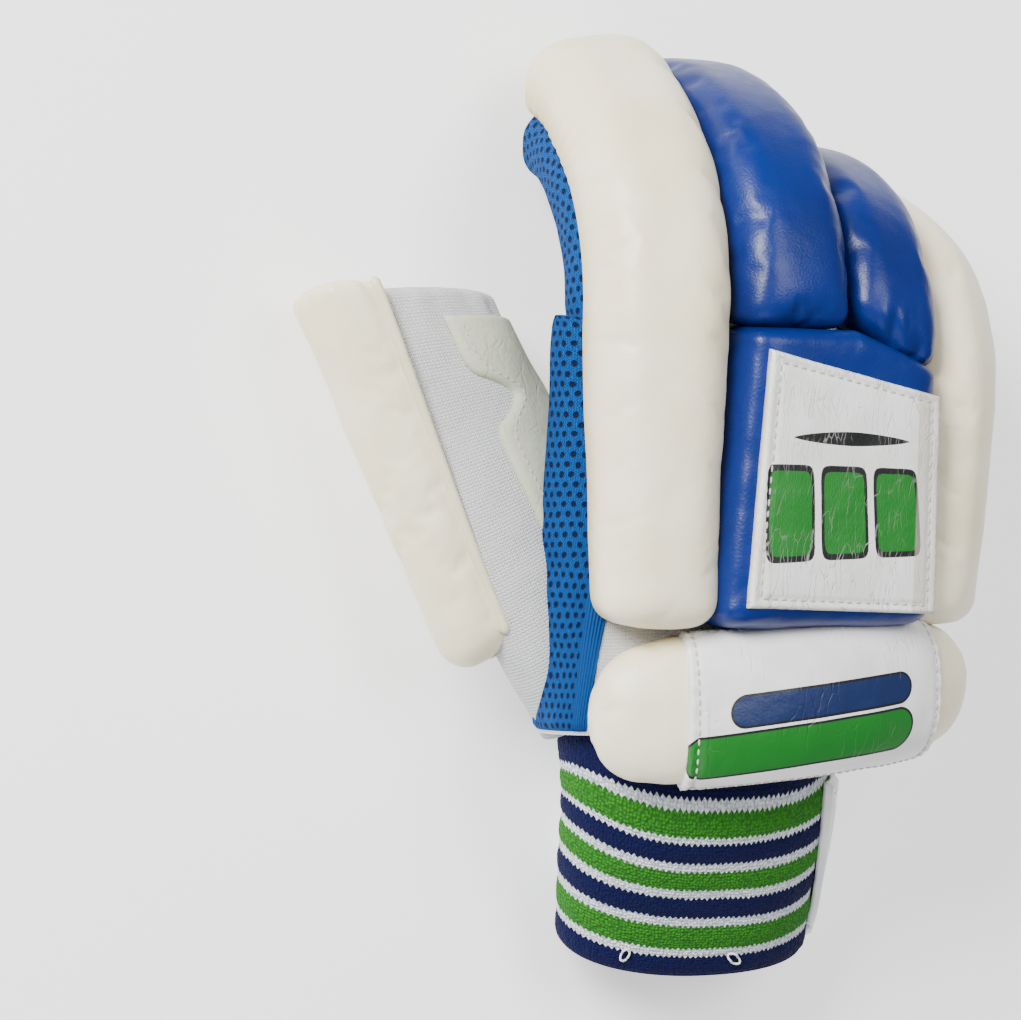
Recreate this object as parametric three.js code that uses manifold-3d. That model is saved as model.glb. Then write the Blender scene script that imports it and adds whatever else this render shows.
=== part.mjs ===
// A right-hand cricket batting glove, resting palm down on its fingertips and the palm side of its cuff.
// Millimetres and degrees. +Z is up, +Y runs from the wrist to the fingers, +X towards the little finger.
import * as THREE from "three";
import Module from "manifold-3d";

const wasm = await Module();
wasm.setup();

// Walls, and the gap between pieces that are sewn together
const sewnGap = 0.35;
const rollGap = 0.7;
const strapGap = 0.7;
const knitWall = 2.0;
const meshWall = 1.8;
const leatherWall = 1.4;
const cuffWall = 2.2;
const strapWall = 2.2;
const fastenerWall = 1.1;

// The hand: heights are those of the middle of the hollow
const knuckleHeight = 66;
const wristHeight = 46.5;
const handPitch = 3;
const palmLength = 122;
const knuckleThickness = 30;
const heelThickness = 48;
const wristWidth = 98;
const wristThickness = 46;
const wristX = -28;
const palmSideMargin = 2;

// Padded rolls
const rollThickness = 21;
const rollEndRadius = 8;
const rollSeamRadius = 4;
const valleyHeight = 4;
const rollSink = 7;
const fingertipReach = 9;
const padBack = 89;
const padFlare = 8;
const patchWidth = 57;
const patchLength = 76;
const patchFront = 9;

// Fingers: these are the middle finger's sizes
const fingerLength = 87;
const fingerWidth = 27;
const fingerThickness = 24;
const fingerRollWidth = 37;
const outerRollBack = 85;

// One row for each finger, as shares of the sizes above. The middle and ring rolls meet at x = 0, and the
// outer two lean on them. long, setBack, tipHeight: of the length; wide, strip: of the width; thick: of the
// thickness; roll, shift, skew: of the roll's width; rollBack: of the outer roll's reach over the hand.
// setBack: how far the root lies behind the middle finger's; tipHeight: how far the end is off the surface;
// curl: share of the length that bends; shift: how far the roll is moved across; narrow: the width of the
// roll's back end; skew: how far its back edge slants; strip: the strip on the gripping side
const fingerTable = [
  { name: "index", long: 0.885, wide: 1.075, thick: 1, setBack: 0.035, lean: 14, curlLean: 4, splay: 2,
    curl: 1, tipHeight: 0.16, roll: 1.19, shift: 0.216, rollBack: 1, narrow: 0.84, skew: 0,
    strip: 0.74, leather: true, finish: "creamLeather" },
  { name: "middle", long: 1, wide: 1, thick: 1, setBack: 0, lean: 2, curlLean: 1, splay: 1,
    curl: 0.85, tipHeight: 0, roll: 1, shift: 0, rollBack: 0, narrow: 1, skew: 0,
    strip: 0.67, leather: false, finish: "blueLeather" },
  { name: "ring", long: 0.862, wide: 0.925, thick: 0.96, setBack: 0.075, lean: -3, curlLean: -2, splay: 3,
    curl: 0.6, tipHeight: 0, roll: 0.838, shift: 0, rollBack: 0, narrow: 1, skew: 0.135,
    strip: 0.63, leather: false, finish: "blueLeather" },
  { name: "little", long: 0.839, wide: 0.815, thick: 0.875, setBack: 0.253, lean: -32, curlLean: -8, splay: 4,
    curl: 0.75, tipHeight: 0, roll: 0.919, shift: 0, rollBack: 0.776, narrow: 0.9, skew: 0,
    strip: 0.555, leather: false, finish: "creamLeather" },
];
const fingers = fingerTable.map((row) => ({
  ...row,
  length: fingerLength * row.long,
  width: fingerWidth * row.wide,
  thickness: fingerThickness * row.thick,
  setBack: fingerLength * row.setBack,
  tipHeight: fingerLength * row.tipHeight,
  rollWidth: fingerRollWidth * row.roll,
  rollShift: fingerRollWidth * row.shift,
  rollBack: outerRollBack * row.rollBack,
  skew: fingerRollWidth * row.skew,
  stripWidth: fingerWidth * row.strip,
}));

// The thumb runs along a curve through three points of its own
const thumbRoot = [-49, -108, 37];
const thumbBend = [-80, -62, 35];
const thumbTip = [-107, 5, 22];
const thumbWidth = 28;
const thumbTipDepth = 45;
const thumbRootDepth = 58;
const thumbTipReach = 5;
const thumbTipSlant = 8;
const thumbLean = 85;
const thumbRollWidth = 28;
const thumbRollThickness = 15;

// Wrist roll
const wristRollLength = 128;
const wristRollX = -9;
const wristRollWidth = 43;
const wristRollThickness = 23;
const wristRollBack = 112;
const wristRollDroop = 17;
const wristPanelLength = 85;
const wristPanelShift = 0;

// Cuff and strap
const cuffLength = 73;
const cuffTopWidth = 92;
const cuffShift = 3;
const cuffWidth = 86;
const cuffThickness = 46;
const cuffSlopeStart = 14;
const cuffSlopeEnd = 28;
const cuffDrift = 13;
const strapWidth = 58;
const strapStartAngle = 30;
const strapEndAngle = -135;
const strapHemMargin = 1;

// Finish colours
const finishes = {
  creamLeather: { color: 0xece6d6, roughness: 0.45 },
  whiteLeather: { color: 0xeeeeec, roughness: 0.4 },
  blueLeather: { color: 0x0b3f9e, roughness: 0.38 },
  palmLeather: { color: 0xdcdccb, roughness: 0.7 },
  whiteKnit: { color: 0xf1f0ee, roughness: 0.95 },
  blueMesh: { color: 0x2f74c0, roughness: 0.9 },
  stripedKnit: { color: 0x3d8f3c, roughness: 0.95 },
  strapVinyl: { color: 0xe6e9ea, roughness: 0.35 },
  fastener: { color: 0xdedede, roughness: 0.95 },
};

const rad = THREE.MathUtils.degToRad;
const lerp = THREE.MathUtils.lerp;
const smooth = (t) => THREE.MathUtils.smoothstep(t, 0, 1);
const vec = (x, y, z) => new THREE.Vector3(x, y, z);
const signedPower = (x, p) => Math.sign(x) * Math.abs(x) ** p;

// Solids

// A closed body through rings of equal count, each a list of points. Each end ring is closed by a fan,
// or, zipped, by a strip from its upper half to its lower half, for ends that bend.
function loft(rings, zipped = false) {
  const count = rings[0].length;
  const points = rings.flat();
  const faces = [];
  for (let r = 0; r + 1 < rings.length; r++) {
    for (let i = 0; i < count; i++) {
      const j = (i + 1) % count;
      const [a, b, c, d] = [r * count + i, r * count + j, (r + 1) * count + j, (r + 1) * count + i];
      faces.push([a, b, c], [a, c, d]);
    }
  }
  for (const [r, flip] of [[0, true], [rings.length - 1, false]]) {
    if (zipped) {
      for (let i = 0; i < count / 2; i++) {
        const [a, b, c, d] = [i, i + 1, (count - i - 1) % count, (count - i) % count].map((k) => r * count + k);
        const corners = [[a, b, c], [a, c, d]].filter((face) => new Set(face).size === 3);
        faces.push(...corners.map((face) => (flip ? face.reverse() : face)));
      }
      continue;
    }
    const centre = rings[r].reduce((sum, p) => sum.add(p), vec(0, 0, 0)).divideScalar(count);
    const middle = points.push(centre) - 1;
    for (let i = 0; i < count; i++) {
      const pair = [r * count + i, r * count + ((i + 1) % count)];
      faces.push([middle, ...(flip ? pair.reverse() : pair)]);
    }
  }
  return bodyOf(points, faces);
}

// A sheet between two grids of points of the same size, closed round its border
function sheet(outer, inner) {
  const [rows, columns] = [outer.length, outer[0].length];
  const at = (side, r, c) => side * rows * columns + r * columns + c;
  const faces = [];
  const quad = (a, b, c, d) => faces.push([a, b, c], [a, c, d]);
  for (let r = 0; r + 1 < rows; r++) {
    for (let c = 0; c + 1 < columns; c++) {
      quad(at(0, r, c), at(0, r, c + 1), at(0, r + 1, c + 1), at(0, r + 1, c));
      quad(at(1, r, c), at(1, r + 1, c), at(1, r + 1, c + 1), at(1, r, c + 1));
    }
  }
  for (let r = 0; r + 1 < rows; r++) {
    quad(at(0, r, 0), at(0, r + 1, 0), at(1, r + 1, 0), at(1, r, 0));
    quad(at(0, r + 1, columns - 1), at(0, r, columns - 1), at(1, r, columns - 1), at(1, r + 1, columns - 1));
  }
  for (let c = 0; c + 1 < columns; c++) {
    quad(at(0, 0, c + 1), at(0, 0, c), at(1, 0, c), at(1, 0, c + 1));
    quad(at(0, rows - 1, c), at(0, rows - 1, c + 1), at(1, rows - 1, c + 1), at(1, rows - 1, c));
  }
  return bodyOf([...outer.flat(), ...inner.flat()], faces);
}

function bodyOf(points, faces) {
  const make = (triangles) =>
    new wasm.Manifold(
      new wasm.Mesh({
        numProp: 3,
        vertProperties: new Float32Array(points.flatMap((p) => [p.x, p.y, p.z])),
        triVerts: new Uint32Array(triangles.flat()),
      }),
    );
  const body = make(faces);
  return body.volume() < 0 ? make(faces.map(([a, b, c]) => [a, c, b])) : body;
}

// The biggest of the bodies that a cut leaves
function biggest(body) {
  return body.decompose().sort((a, b) => b.volume() - a.volume())[0];
}

const cut = (body, ...tools) => biggest(tools.reduce((left, tool) => left.subtract(tool), body));

// An upright prism over an outline of [x, y] points
function prism(outline, low, high) {
  const shape = new THREE.Shape(outline.map(([x, y]) => new THREE.Vector2(x, y)));
  const geometry = new THREE.ExtrudeGeometry(shape, { depth: high - low, bevelEnabled: false });
  geometry.translate(0, 0, low);
  const position = geometry.getAttribute("position");
  const index = new Map();
  const points = [];
  const corners = [];
  for (let i = 0; i < position.count; i++) {
    const point = vec(position.getX(i), position.getY(i), position.getZ(i));
    const key = point.toArray().map((x) => x.toFixed(4)).join();
    if (!index.has(key)) index.set(key, points.push(point) - 1);
    corners.push(index.get(key));
  }
  const faces = [];
  for (let i = 0; i < corners.length; i += 3) faces.push(corners.slice(i, i + 3));
  return bodyOf(points, faces);
}

// Sections

const TUBE_POINTS = 10;
const TUBE_SQUARENESS = 2.6;
const LOAF_STEPS = 6;
const LOAF_SQUARENESS = 4;

function ovalSection(halfWidth, halfHeight, count = TUBE_POINTS, squareness = TUBE_SQUARENESS) {
  return Array.from({ length: count }, (_, i) => {
    const a = (2 * Math.PI * i) / count;
    return [
      halfWidth * signedPower(Math.cos(a), 2 / squareness),
      halfHeight * signedPower(Math.sin(a), 2 / squareness),
    ];
  });
}

// A flat-bottomed outline with round shoulders: base is where its sides start to curve in
function loafSection(halfWidth, bottom, base, top) {
  const points = [];
  for (let i = 0; i <= LOAF_STEPS; i++) {
    const a = (Math.PI * i) / LOAF_STEPS;
    points.push([
      halfWidth * signedPower(Math.cos(a), 2 / LOAF_SQUARENESS),
      base + (top - base) * signedPower(Math.sin(a), 2 / LOAF_SQUARENESS),
    ]);
  }
  return [...points, [-halfWidth, bottom], [halfWidth, bottom]];
}

const place = (frame, section) =>
  section.map(([across, up]) =>
    frame.point.clone().addScaledVector(frame.across, across).addScaledVector(frame.up, up),
  );

// How far a round edge of this radius pulls a section in at some distance from the end face
const edgeInset = (radius, distance) =>
  distance >= radius ? 0 : radius - Math.sqrt(radius ** 2 - (radius - distance) ** 2);
const EDGE_SHARES = [0, 0.25, 1];

// Fingers

const CURL_BUILD_UP = 1.1; // the curl gathers towards the tip
const WALK_STEPS = 20;

// The sewn line that each outer roll leans against, at the knuckle
const seatHeight = (finger) => finger.thickness / 2 + valleyHeight;

function withRoot(finger, i) {
  const lean = rad(finger.lean);
  const side = i < 2 ? -1 : 1;
  const neighbour = fingers[i === 0 ? 1 : 2];
  const outer = i === 0 || i === 3;
  const reach = outer ? neighbour.rollWidth : 0;
  const cornerHeight = knuckleHeight + seatHeight(outer ? neighbour : finger);
  // the corner of the roll that faces x = 0, from the middle of the finger
  const [u, w] = [seatHeight(finger), (-side * finger.rollWidth) / 2 + finger.rollShift];
  const x = side * reach - (-u * Math.sin(lean) + w * Math.cos(lean));
  const z = cornerHeight - (u * Math.cos(lean) + w * Math.sin(lean));
  return { ...finger, root: vec(x, -finger.setBack, z) };
}

function fingerFrame(finger, s) {
  const [splay, curlLean] = [rad(finger.splay), rad(finger.curlLean)];
  const forward = vec(Math.sin(splay), Math.cos(splay), 0);
  const level = vec(Math.cos(splay), -Math.sin(splay), 0);
  const up = vec(0, 0, Math.cos(curlLean)).addScaledVector(level, -Math.sin(curlLean));
  const across = level.clone().multiplyScalar(Math.cos(curlLean)).add(vec(0, 0, Math.sin(curlLean)));
  const slopeAt = (d) => {
    const share = THREE.MathUtils.clamp(d / (finger.length * finger.curl), 0, 1) ** CURL_BUILD_UP;
    return rad(lerp(-handPitch, finger.curlEnd, share));
  };
  const along = (slope) =>
    forward.clone().multiplyScalar(Math.cos(slope)).addScaledVector(up, -Math.sin(slope));
  const point = finger.root.clone();
  const curved = THREE.MathUtils.clamp(s, 0, finger.length);
  for (let i = 0; i < WALK_STEPS; i++) {
    point.addScaledVector(along(slopeAt(((i + 0.5) * curved) / WALK_STEPS)), curved / WALK_STEPS);
  }
  const slope = slopeAt(s);
  point.addScaledVector(along(slope), s - curved);
  const normal = up.clone().multiplyScalar(Math.cos(slope)).addScaledVector(forward, Math.sin(slope));
  const twist = rad(finger.lean - finger.curlLean);
  return {
    point,
    along: along(slope),
    up: normal.clone().multiplyScalar(Math.cos(twist)).addScaledVector(across, -Math.sin(twist)),
    across: across.clone().multiplyScalar(Math.cos(twist)).addScaledVector(normal, Math.sin(twist)),
  };
}

const FINGER_STATIONS = 5;
const DOME_SHARES = [[0.7, 0.82]]; // how far past the finger's length, and the section's share
const TUBE_START = 14;

// A finger's tube, grown outwards by a margin, or shrunk by its wall when that is negative
function fingerTube(finger, margin, start = -TUBE_START) {
  const size = [finger.width / 2 + margin, finger.thickness / 2 + margin];
  const ringAt = (s, share) => place(fingerFrame(finger, s), ovalSection(size[0] * share, size[1] * share));
  const rings = [ringAt(start, 1)];
  for (let i = 0; i <= FINGER_STATIONS; i++) rings.push(ringAt((finger.length * i) / FINGER_STATIONS, 1));
  const reach = fingertipReach + margin;
  for (const [out, share] of DOME_SHARES) rings.push(ringAt(finger.length + reach * out, share));
  rings.push(ringAt(finger.length + reach, 0.3));
  return rings;
}

const ROLL_STATION = 23;

// A padded roll over a finger, from rollBack behind its root to past its tip
function rollRings(finger, margin = 0) {
  const bottom = finger.thickness / 2 - rollSink - margin;
  const base = finger.thickness / 2 + valleyHeight / 2;
  const top = finger.thickness / 2 + rollThickness + margin;
  const [low, high] = [-finger.rollBack - margin, finger.length + fingertipReach + margin];
  const backRadius = finger.rollBack ? rollEndRadius : rollSeamRadius;
  const between = Math.round((high - low - 2 * margin) / ROLL_STATION);
  const middle = Array.from({ length: between - 1 }, (_, i) =>
    lerp(low + backRadius, high - rollEndRadius, (i + 1) / between),
  );
  const stations = [
    ...EDGE_SHARES.map((share) => [low + share * backRadius, edgeInset(backRadius, share * backRadius)]),
    ...middle.map((s) => [s, 0]),
    ...EDGE_SHARES.map((share) => [high - share * rollEndRadius, edgeInset(rollEndRadius, share * rollEndRadius)])
      .reverse(),
  ];
  return stations.map(([s, inset]) => {
    const taper = lerp(1, finger.narrow, THREE.MathUtils.clamp(-s / (finger.rollBack || 1), 0, 1));
    const half = (finger.rollWidth * taper - rollGap) / 2 + margin;
    const shift = finger.rollShift - (Math.sign(finger.root.x) * finger.rollWidth * (1 - taper)) / 2;
    const slant = finger.skew * THREE.MathUtils.clamp(1 - s / finger.length, 0, 1);
    return loafSection(half - inset, bottom, base, top - inset).flatMap(([across, up]) =>
      place(fingerFrame(finger, s - (slant * across) / half), [[across + shift, up]]),
    );
  });
}

// The curl that sets a fingertip, and the roll's end over it, down on the surface
function withCurl(finger) {
  let [low, high] = [20, 135];
  for (let i = 0; i < 24; i++) {
    const trial = { ...finger, curlEnd: (low + high) / 2 };
    const rings = [...fingerTube(trial, 0).slice(-4), ...rollRings(trial).slice(-4)];
    const lowest = Math.min(...rings.flat().map((p) => p.z));
    if (lowest > finger.tipHeight) low = trial.curlEnd;
    else high = trial.curlEnd;
  }
  return { ...finger, curlEnd: low };
}

const hand = fingers.map(withRoot).map(withCurl);
const byName = Object.fromEntries(hand.map((finger) => [finger.name, finger]));

// Palm

// A smooth line across the knuckles through one value of each finger
function acrossKnuckles(x, value) {
  let sum = 0;
  hand.forEach((a) => {
    let weight = 1;
    hand.forEach((b) => {
      if (a !== b) weight *= (x - b.root.x) / (a.root.x - b.root.x);
    });
    sum += weight * value(a);
  });
  return sum;
}

const knuckleLeft = byName.index.root.x - byName.index.width / 2 - palmSideMargin;
const knuckleRight = byName.little.root.x + byName.little.width / 2 + palmSideMargin;
const webAt = (x) => acrossKnuckles(x, (finger) => finger.root.y);
const archAt = (x) => acrossKnuckles(x, (finger) => finger.root.z);

// along: share of the way from wrist to web; wide and thick: shares of the way from the wrist's
// size to the knuckles'; heel: share of the heel's extra thickness
const palmStations = [
  { along: 0, wide: 0, thick: 0, heel: 0 },
  { along: 0.14, wide: 0.12, thick: 0.1, heel: 0.5 },
  { along: 0.34, wide: 0.42, thick: 0.25, heel: 1 },
  { along: 0.58, wide: 0.78, thick: 0.5, heel: 0.85 },
  { along: 0.8, wide: 0.97, thick: 0.8, heel: 0.4 },
  { along: 1, wide: 1, thick: 1, heel: 0 },
];
// the rounded front of the palm between the fingers: how far past the web, and the section's share
const WEB_NOSE = [[2.6, 0.86], [4, 0.5]];
const PALM_POINTS = 20;
const PALM_SQUARENESS = 2.5;

function palmRing(station, margin, forward = 0, share = 1) {
  const left = lerp(wristX - wristWidth / 2, knuckleLeft, station.wide);
  const right = lerp(wristX + wristWidth / 2, knuckleRight, station.wide);
  const thickness =
    lerp(wristThickness, knuckleThickness, station.thick) + (heelThickness - wristThickness) * station.heel;
  const section = ovalSection(1, 1, PALM_POINTS, PALM_SQUARENESS);
  const halfWidth = (right - left) / 2 + margin;
  return section.map(([across, up]) => {
    const x = (left + right) / 2 + halfWidth * across;
    const knuckleX = lerp(knuckleLeft, knuckleRight, (across + 1) / 2);
    const top = lerp(
      wristHeight + wristThickness / 2,
      archAt(knuckleX) + knuckleThickness / 2,
      smooth(station.along),
    );
    const y = lerp(-palmLength, webAt(knuckleX), station.along) + forward;
    return vec(x, y, top - thickness / 2 + (thickness / 2 + margin) * share * up);
  });
}

function palmRings(margin, wristReach = 0) {
  const rings = palmStations.map((station) => palmRing(station, margin));
  if (wristReach) rings[0].forEach((point) => (point.y -= wristReach));
  const web = palmStations.at(-1);
  for (const [out, share] of WEB_NOSE) rings.push(palmRing(web, margin, out + margin, share));
  return rings;
}

const palmOuter = loft(palmRings(0), true);
const palmGrown = loft(palmRings(sewnGap, 1), true);
const palmHollow = loft(palmRings(-knitWall, 5), true);

// Thumb

const thumbCurve = new THREE.QuadraticBezierCurve3(vec(...thumbRoot), vec(...thumbBend), vec(...thumbTip));
const thumbLength = thumbCurve.getLength();

function thumbFrame(s) {
  const t = THREE.MathUtils.clamp(s / thumbLength, 0, 1);
  const along = thumbCurve.getTangentAt(t);
  const point = thumbCurve.getPointAt(t).addScaledVector(along, s - t * thumbLength);
  const dorsal = vec(-Math.sin(rad(thumbLean)), 0, Math.cos(rad(thumbLean)));
  const up = dorsal.addScaledVector(along, -dorsal.dot(along)).normalize();
  return { point, along, up, across: along.clone().cross(up) };
}

// The dorsal side of the thumb reaches further than the palmar side
function thumbPlace(s, section) {
  const frame = thumbFrame(s);
  const slant = (thumbTipSlant * THREE.MathUtils.clamp(s / thumbLength, 0, 1) ** 2) / (thumbTipDepth / 2);
  return place(frame, section).map((point, i) => point.addScaledVector(frame.along, slant * section[i][1]));
}

const THUMB_STATIONS = 5;
const THUMB_DOME = [[0.5, 0.92], [0.88, 0.7]];

// The thumb narrows from its root to its tip
const thumbDepth = (s) => lerp(thumbRootDepth, thumbTipDepth, smooth(s / thumbLength));

function thumbTube(margin) {
  const ringAt = (s, share) => {
    const [wide, deep] = [thumbWidth / 2 + margin, thumbDepth(s) / 2 + margin];
    return thumbPlace(s, ovalSection(wide * share, deep * lerp(1, share, 0.5)));
  };
  const rings = [];
  for (let i = 0; i <= THUMB_STATIONS; i++) rings.push(ringAt((thumbLength * i) / THUMB_STATIONS, 1));
  const reach = thumbTipReach + margin;
  for (const [out, share] of THUMB_DOME) rings.push(ringAt(thumbLength + reach * out, share));
  rings.push(ringAt(thumbLength + reach, 0.4));
  return rings;
}

const thumbOuter = loft(thumbTube(0));
const thumbGrown = loft(thumbTube(sewnGap));
const thumbHollow = loft(thumbTube(-knitWall));

const thumbRollStart = 0.22; // share of the thumb's length where its roll starts

function thumbRollRings() {
  const [low, high] = [thumbLength * thumbRollStart, thumbLength + thumbTipReach];
  const stations = [
    ...EDGE_SHARES.map((share) => [low + share * rollEndRadius, edgeInset(rollEndRadius, share * rollEndRadius)]),
    ...[0.25, 0.5, 0.75].map((share) => [lerp(low, high, share), 0]),
    ...EDGE_SHARES.map((share) => [high - share * rollSeamRadius, edgeInset(rollSeamRadius, share * rollSeamRadius)])
      .reverse(),
  ];
  return stations.map(([s, inset]) => {
    const surface = thumbDepth(s) / 2;
    const section = loafSection(
      thumbRollWidth / 2 - inset,
      surface - rollSink,
      surface,
      surface + thumbRollThickness - inset,
    );
    return thumbPlace(s, section);
  });
}

// The leather on the side of the thumb that grips: angles round the tube, and shares of its length
const thumbPatchAngles = [-130, 0];
const thumbPatchShares = [0.4, 0.95];

function thumbPatchBody() {
  const point = (t, angle, offset) => {
    const s = thumbLength * t;
    const power = 2 / TUBE_SQUARENESS;
    const across = (thumbWidth / 2 + offset) * signedPower(Math.cos(rad(angle)), power);
    const up = (thumbDepth(s) / 2 + offset) * signedPower(Math.sin(rad(angle)), power);
    return thumbPlace(s, [[across, up]])[0];
  };
  const grid = (offset) =>
    Array.from({ length: 6 }, (_, r) =>
      Array.from({ length: 6 }, (_, c) =>
        point(lerp(...thumbPatchShares, r / 5), lerp(...thumbPatchAngles, c / 5), offset),
      ),
    );
  return sheet(grid(sewnGap + leatherWall), grid(-1));
}

// Cuff and strap

const CUFF_POINTS = 20;
const CUFF_ROWS = 5;
const CUFF_SQUARENESS = 2.2;
const CUFF_BEND = 0.55; // share of the cuff's length over which it bends down

function cuffFrame(s) {
  const slopeAt = (d) => rad(lerp(cuffSlopeStart, cuffSlopeEnd, smooth(d / (CUFF_BEND * cuffLength))));
  const along = (slope) => vec(cuffDrift / cuffLength, -Math.cos(slope), -Math.sin(slope)).normalize();
  const point = vec(wristX + cuffShift, -palmLength - sewnGap, wristHeight);
  for (let i = 0; i < WALK_STEPS; i++) {
    point.addScaledVector(along(slopeAt(((i + 0.5) * s) / WALK_STEPS)), s / WALK_STEPS);
  }
  // the first section lies flat against the palm's wrist end
  const slope = slopeAt(s) * smooth(s / (0.3 * cuffLength));
  return { point, up: vec(0, -Math.sin(slope), Math.cos(slope)), across: vec(1, 0, 0) };
}

const FASTENER_COLUMNS = 2;
const CUFF_STEP = 360 / CUFF_POINTS;
const strapColumns = [strapStartAngle, strapEndAngle].map((angle) => Math.round(angle / CUFF_STEP));

// The strap rises over the fastener towards its free end
const strapLift = (angle) => {
  const full = (strapColumns[1] + 1 + FASTENER_COLUMNS) * CUFF_STEP;
  const share = smooth((angle - strapStartAngle) / (full - strapStartAngle));
  return lerp(strapGap, 2 * strapGap + fastenerWall, share);
};

// The strap's outside lies flat on the surface, and the layers inside it are pressed flat above it
const fastenerFloor = strapWall + strapGap;
const cuffFloor = fastenerFloor + fastenerWall + strapGap;

function cuffPoint(s, angle, offset, floor) {
  const share = s / cuffLength;
  const wide = lerp(cuffTopWidth, cuffWidth, share) / 2 + offset;
  const thick = lerp(wristThickness, cuffThickness, share) / 2 + offset;
  const power = 2 / CUFF_SQUARENESS;
  const section = [
    wide * signedPower(Math.cos(rad(angle)), power),
    thick * signedPower(Math.sin(rad(angle)), power),
  ];
  const point = place(cuffFrame(s), [section])[0];
  point.z = Math.max(point.z, floor);
  return point;
}

function cuffRings(offset, from = 0, to = cuffLength) {
  return Array.from({ length: CUFF_ROWS + 1 }, (_, r) =>
    Array.from({ length: CUFF_POINTS }, (_, i) =>
      cuffPoint(lerp(from, to, r / CUFF_ROWS), i * CUFF_STEP, offset, cuffFloor - offset),
    ),
  );
}

const STRAP_ROWS = 5;
const STRAP_END_SHARE = 0.6; // height of the rounded free end's last edge, as a share of the strap's

// A layer of the strap. Its rows and columns are those of the whole strap, and its columns those of the
// cuff, so that the layers lie evenly on each other.
function strapSheet([firstColumn, lastColumn], [firstRow, lastRow], [inner, outer], [innerFloor, outerFloor]) {
  const high = cuffLength - strapHemMargin;
  const low = high - strapWidth;
  const grid = (offset, floor) =>
    Array.from({ length: lastRow - firstRow + 1 }, (_, r) =>
      Array.from({ length: firstColumn - lastColumn + 1 }, (_, c) => {
        const column = firstColumn - c;
        const angle = column * CUFF_STEP;
        const keep = column === strapColumns[1] ? STRAP_END_SHARE : 1;
        const share = 0.5 + ((firstRow + r) / STRAP_ROWS - 0.5) * keep;
        return cuffPoint(lerp(low, high, share), angle, offset(angle), floor);
      }),
    );
  return sheet(grid(outer, outerFloor), grid(inner, innerFloor));
}

// Back of the hand

const backFrame = (s) => {
  const pitch = rad(handPitch);
  return {
    point: vec(0, s * Math.cos(pitch), knuckleHeight + s * Math.sin(pitch)),
    up: vec(0, -Math.sin(pitch), Math.cos(pitch)),
    across: vec(1, 0, 0),
  };
};
const padHalf = { left: byName.middle.rollWidth - rollGap / 2, right: byName.ring.rollWidth - rollGap / 2 };
const padTop = byName.middle.thickness / 2 + rollThickness;
// the seam between the back pad and the two middle rolls runs from knuckle to knuckle
const seamAt = (x) => {
  const share = THREE.MathUtils.clamp(x / byName.ring.rollWidth, 0, 1);
  return lerp(-byName.middle.setBack, -byName.ring.setBack - byName.ring.skew, share);
};

// The pad's section at s, its front face on the slanted seam
function padRing(s, section) {
  const share = THREE.MathUtils.clamp(1 + s / padBack, 0, 1);
  return section.map(([across, up]) => {
    const flare = (-padFlare * (1 - share) * (padHalf.right - across)) / (padHalf.left + padHalf.right);
    return place(backFrame(s + seamAt(across) * share), [[across + flare, up]])[0];
  });
}

function padRings(margin = 0) {
  const distances = EDGE_SHARES.map((share) => share * rollEndRadius);
  const [low, high] = [-padBack - margin, -sewnGap / 2 + margin];
  const stations = [
    ...distances.map((d) => [low + d, d]),
    ...[0.3, 0.5, 0.7].map((share) => [lerp(low, high, share), rollEndRadius]),
    ...distances.map((d) => [high - d, d]).reverse(),
  ];
  const middle = (padHalf.right - padHalf.left) / 2;
  const half = (padHalf.left + padHalf.right) / 2 + margin;
  return stations.map(([s, d]) => {
    const inset = edgeInset(rollEndRadius / 2, d / 2);
    const section = loafSection(
      half - inset,
      byName.middle.thickness / 2 - rollSink - margin,
      byName.middle.thickness / 2 + valleyHeight / 2,
      padTop + margin - inset,
    );
    return padRing(s, section.map(([across, up]) => [across + middle, up]));
  });
}

// The sewn-on patch is cut out of a skin over the pad
function patchBody() {
  const [front, back] = [-patchFront, -patchFront - patchLength];
  const right = padHalf.right - 3;
  const left = right - patchWidth;
  const corners = [[right, back], [right, front], [left, front], [left, back]];
  const outline = corners.map(([x, s]) => padRing(s, [[x, padTop]])[0].toArray().slice(0, 2));
  const skin = loft(padRings(sewnGap + leatherWall)).subtract(loft(padRings(sewnGap)));
  return biggest(skin.intersect(prism(outline, knuckleHeight, knuckleHeight + 60)));
}

// Wrist roll

// along: share from the thumb side to the little finger side; wide and thick: shares of the section
const wristRollStations = [
  { along: 0, wide: 0.34, thick: 0.4 },
  { along: 0.02, wide: 0.66, thick: 0.66 },
  { along: 0.07, wide: 0.9, thick: 0.88 },
  { along: 0.15, wide: 1, thick: 1 },
  { along: 0.38, wide: 1, thick: 1 },
  { along: 0.62, wide: 0.98, thick: 1 },
  { along: 0.84, wide: 0.94, thick: 0.96 },
  { along: 0.91, wide: 0.8, thick: 0.85 },
  { along: 0.97, wide: 0.5, thick: 0.6 },
  { along: 1, wide: 0.22, thick: 0.3 },
];
const WRIST_ROLL_TILT = 4;
const wristTop = wristHeight + wristThickness / 2;

function wristRollFrame(share) {
  const bend = 2 * share - 1;
  const x = wristRollX + (bend * wristRollLength) / 2;
  const y = -wristRollBack + (x - wristRollX) * Math.tan(rad(WRIST_ROLL_TILT));
  const z = wristTop - 1 + wristRollThickness / 2 - wristRollDroop * bend ** 2;
  const lean = Math.atan((4 * wristRollDroop * bend) / wristRollLength);
  return {
    point: vec(x, y, z),
    up: vec(Math.sin(lean), 0, Math.cos(lean)),
    across: vec(0, 1, 0),
  };
}

function wristRollRing(station, offset) {
  const section = ovalSection(
    (wristRollWidth / 2) * station.wide + offset,
    (wristRollThickness / 2) * station.thick + offset,
    12,
    2.4,
  );
  return place(wristRollFrame(station.along), section);
}

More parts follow.
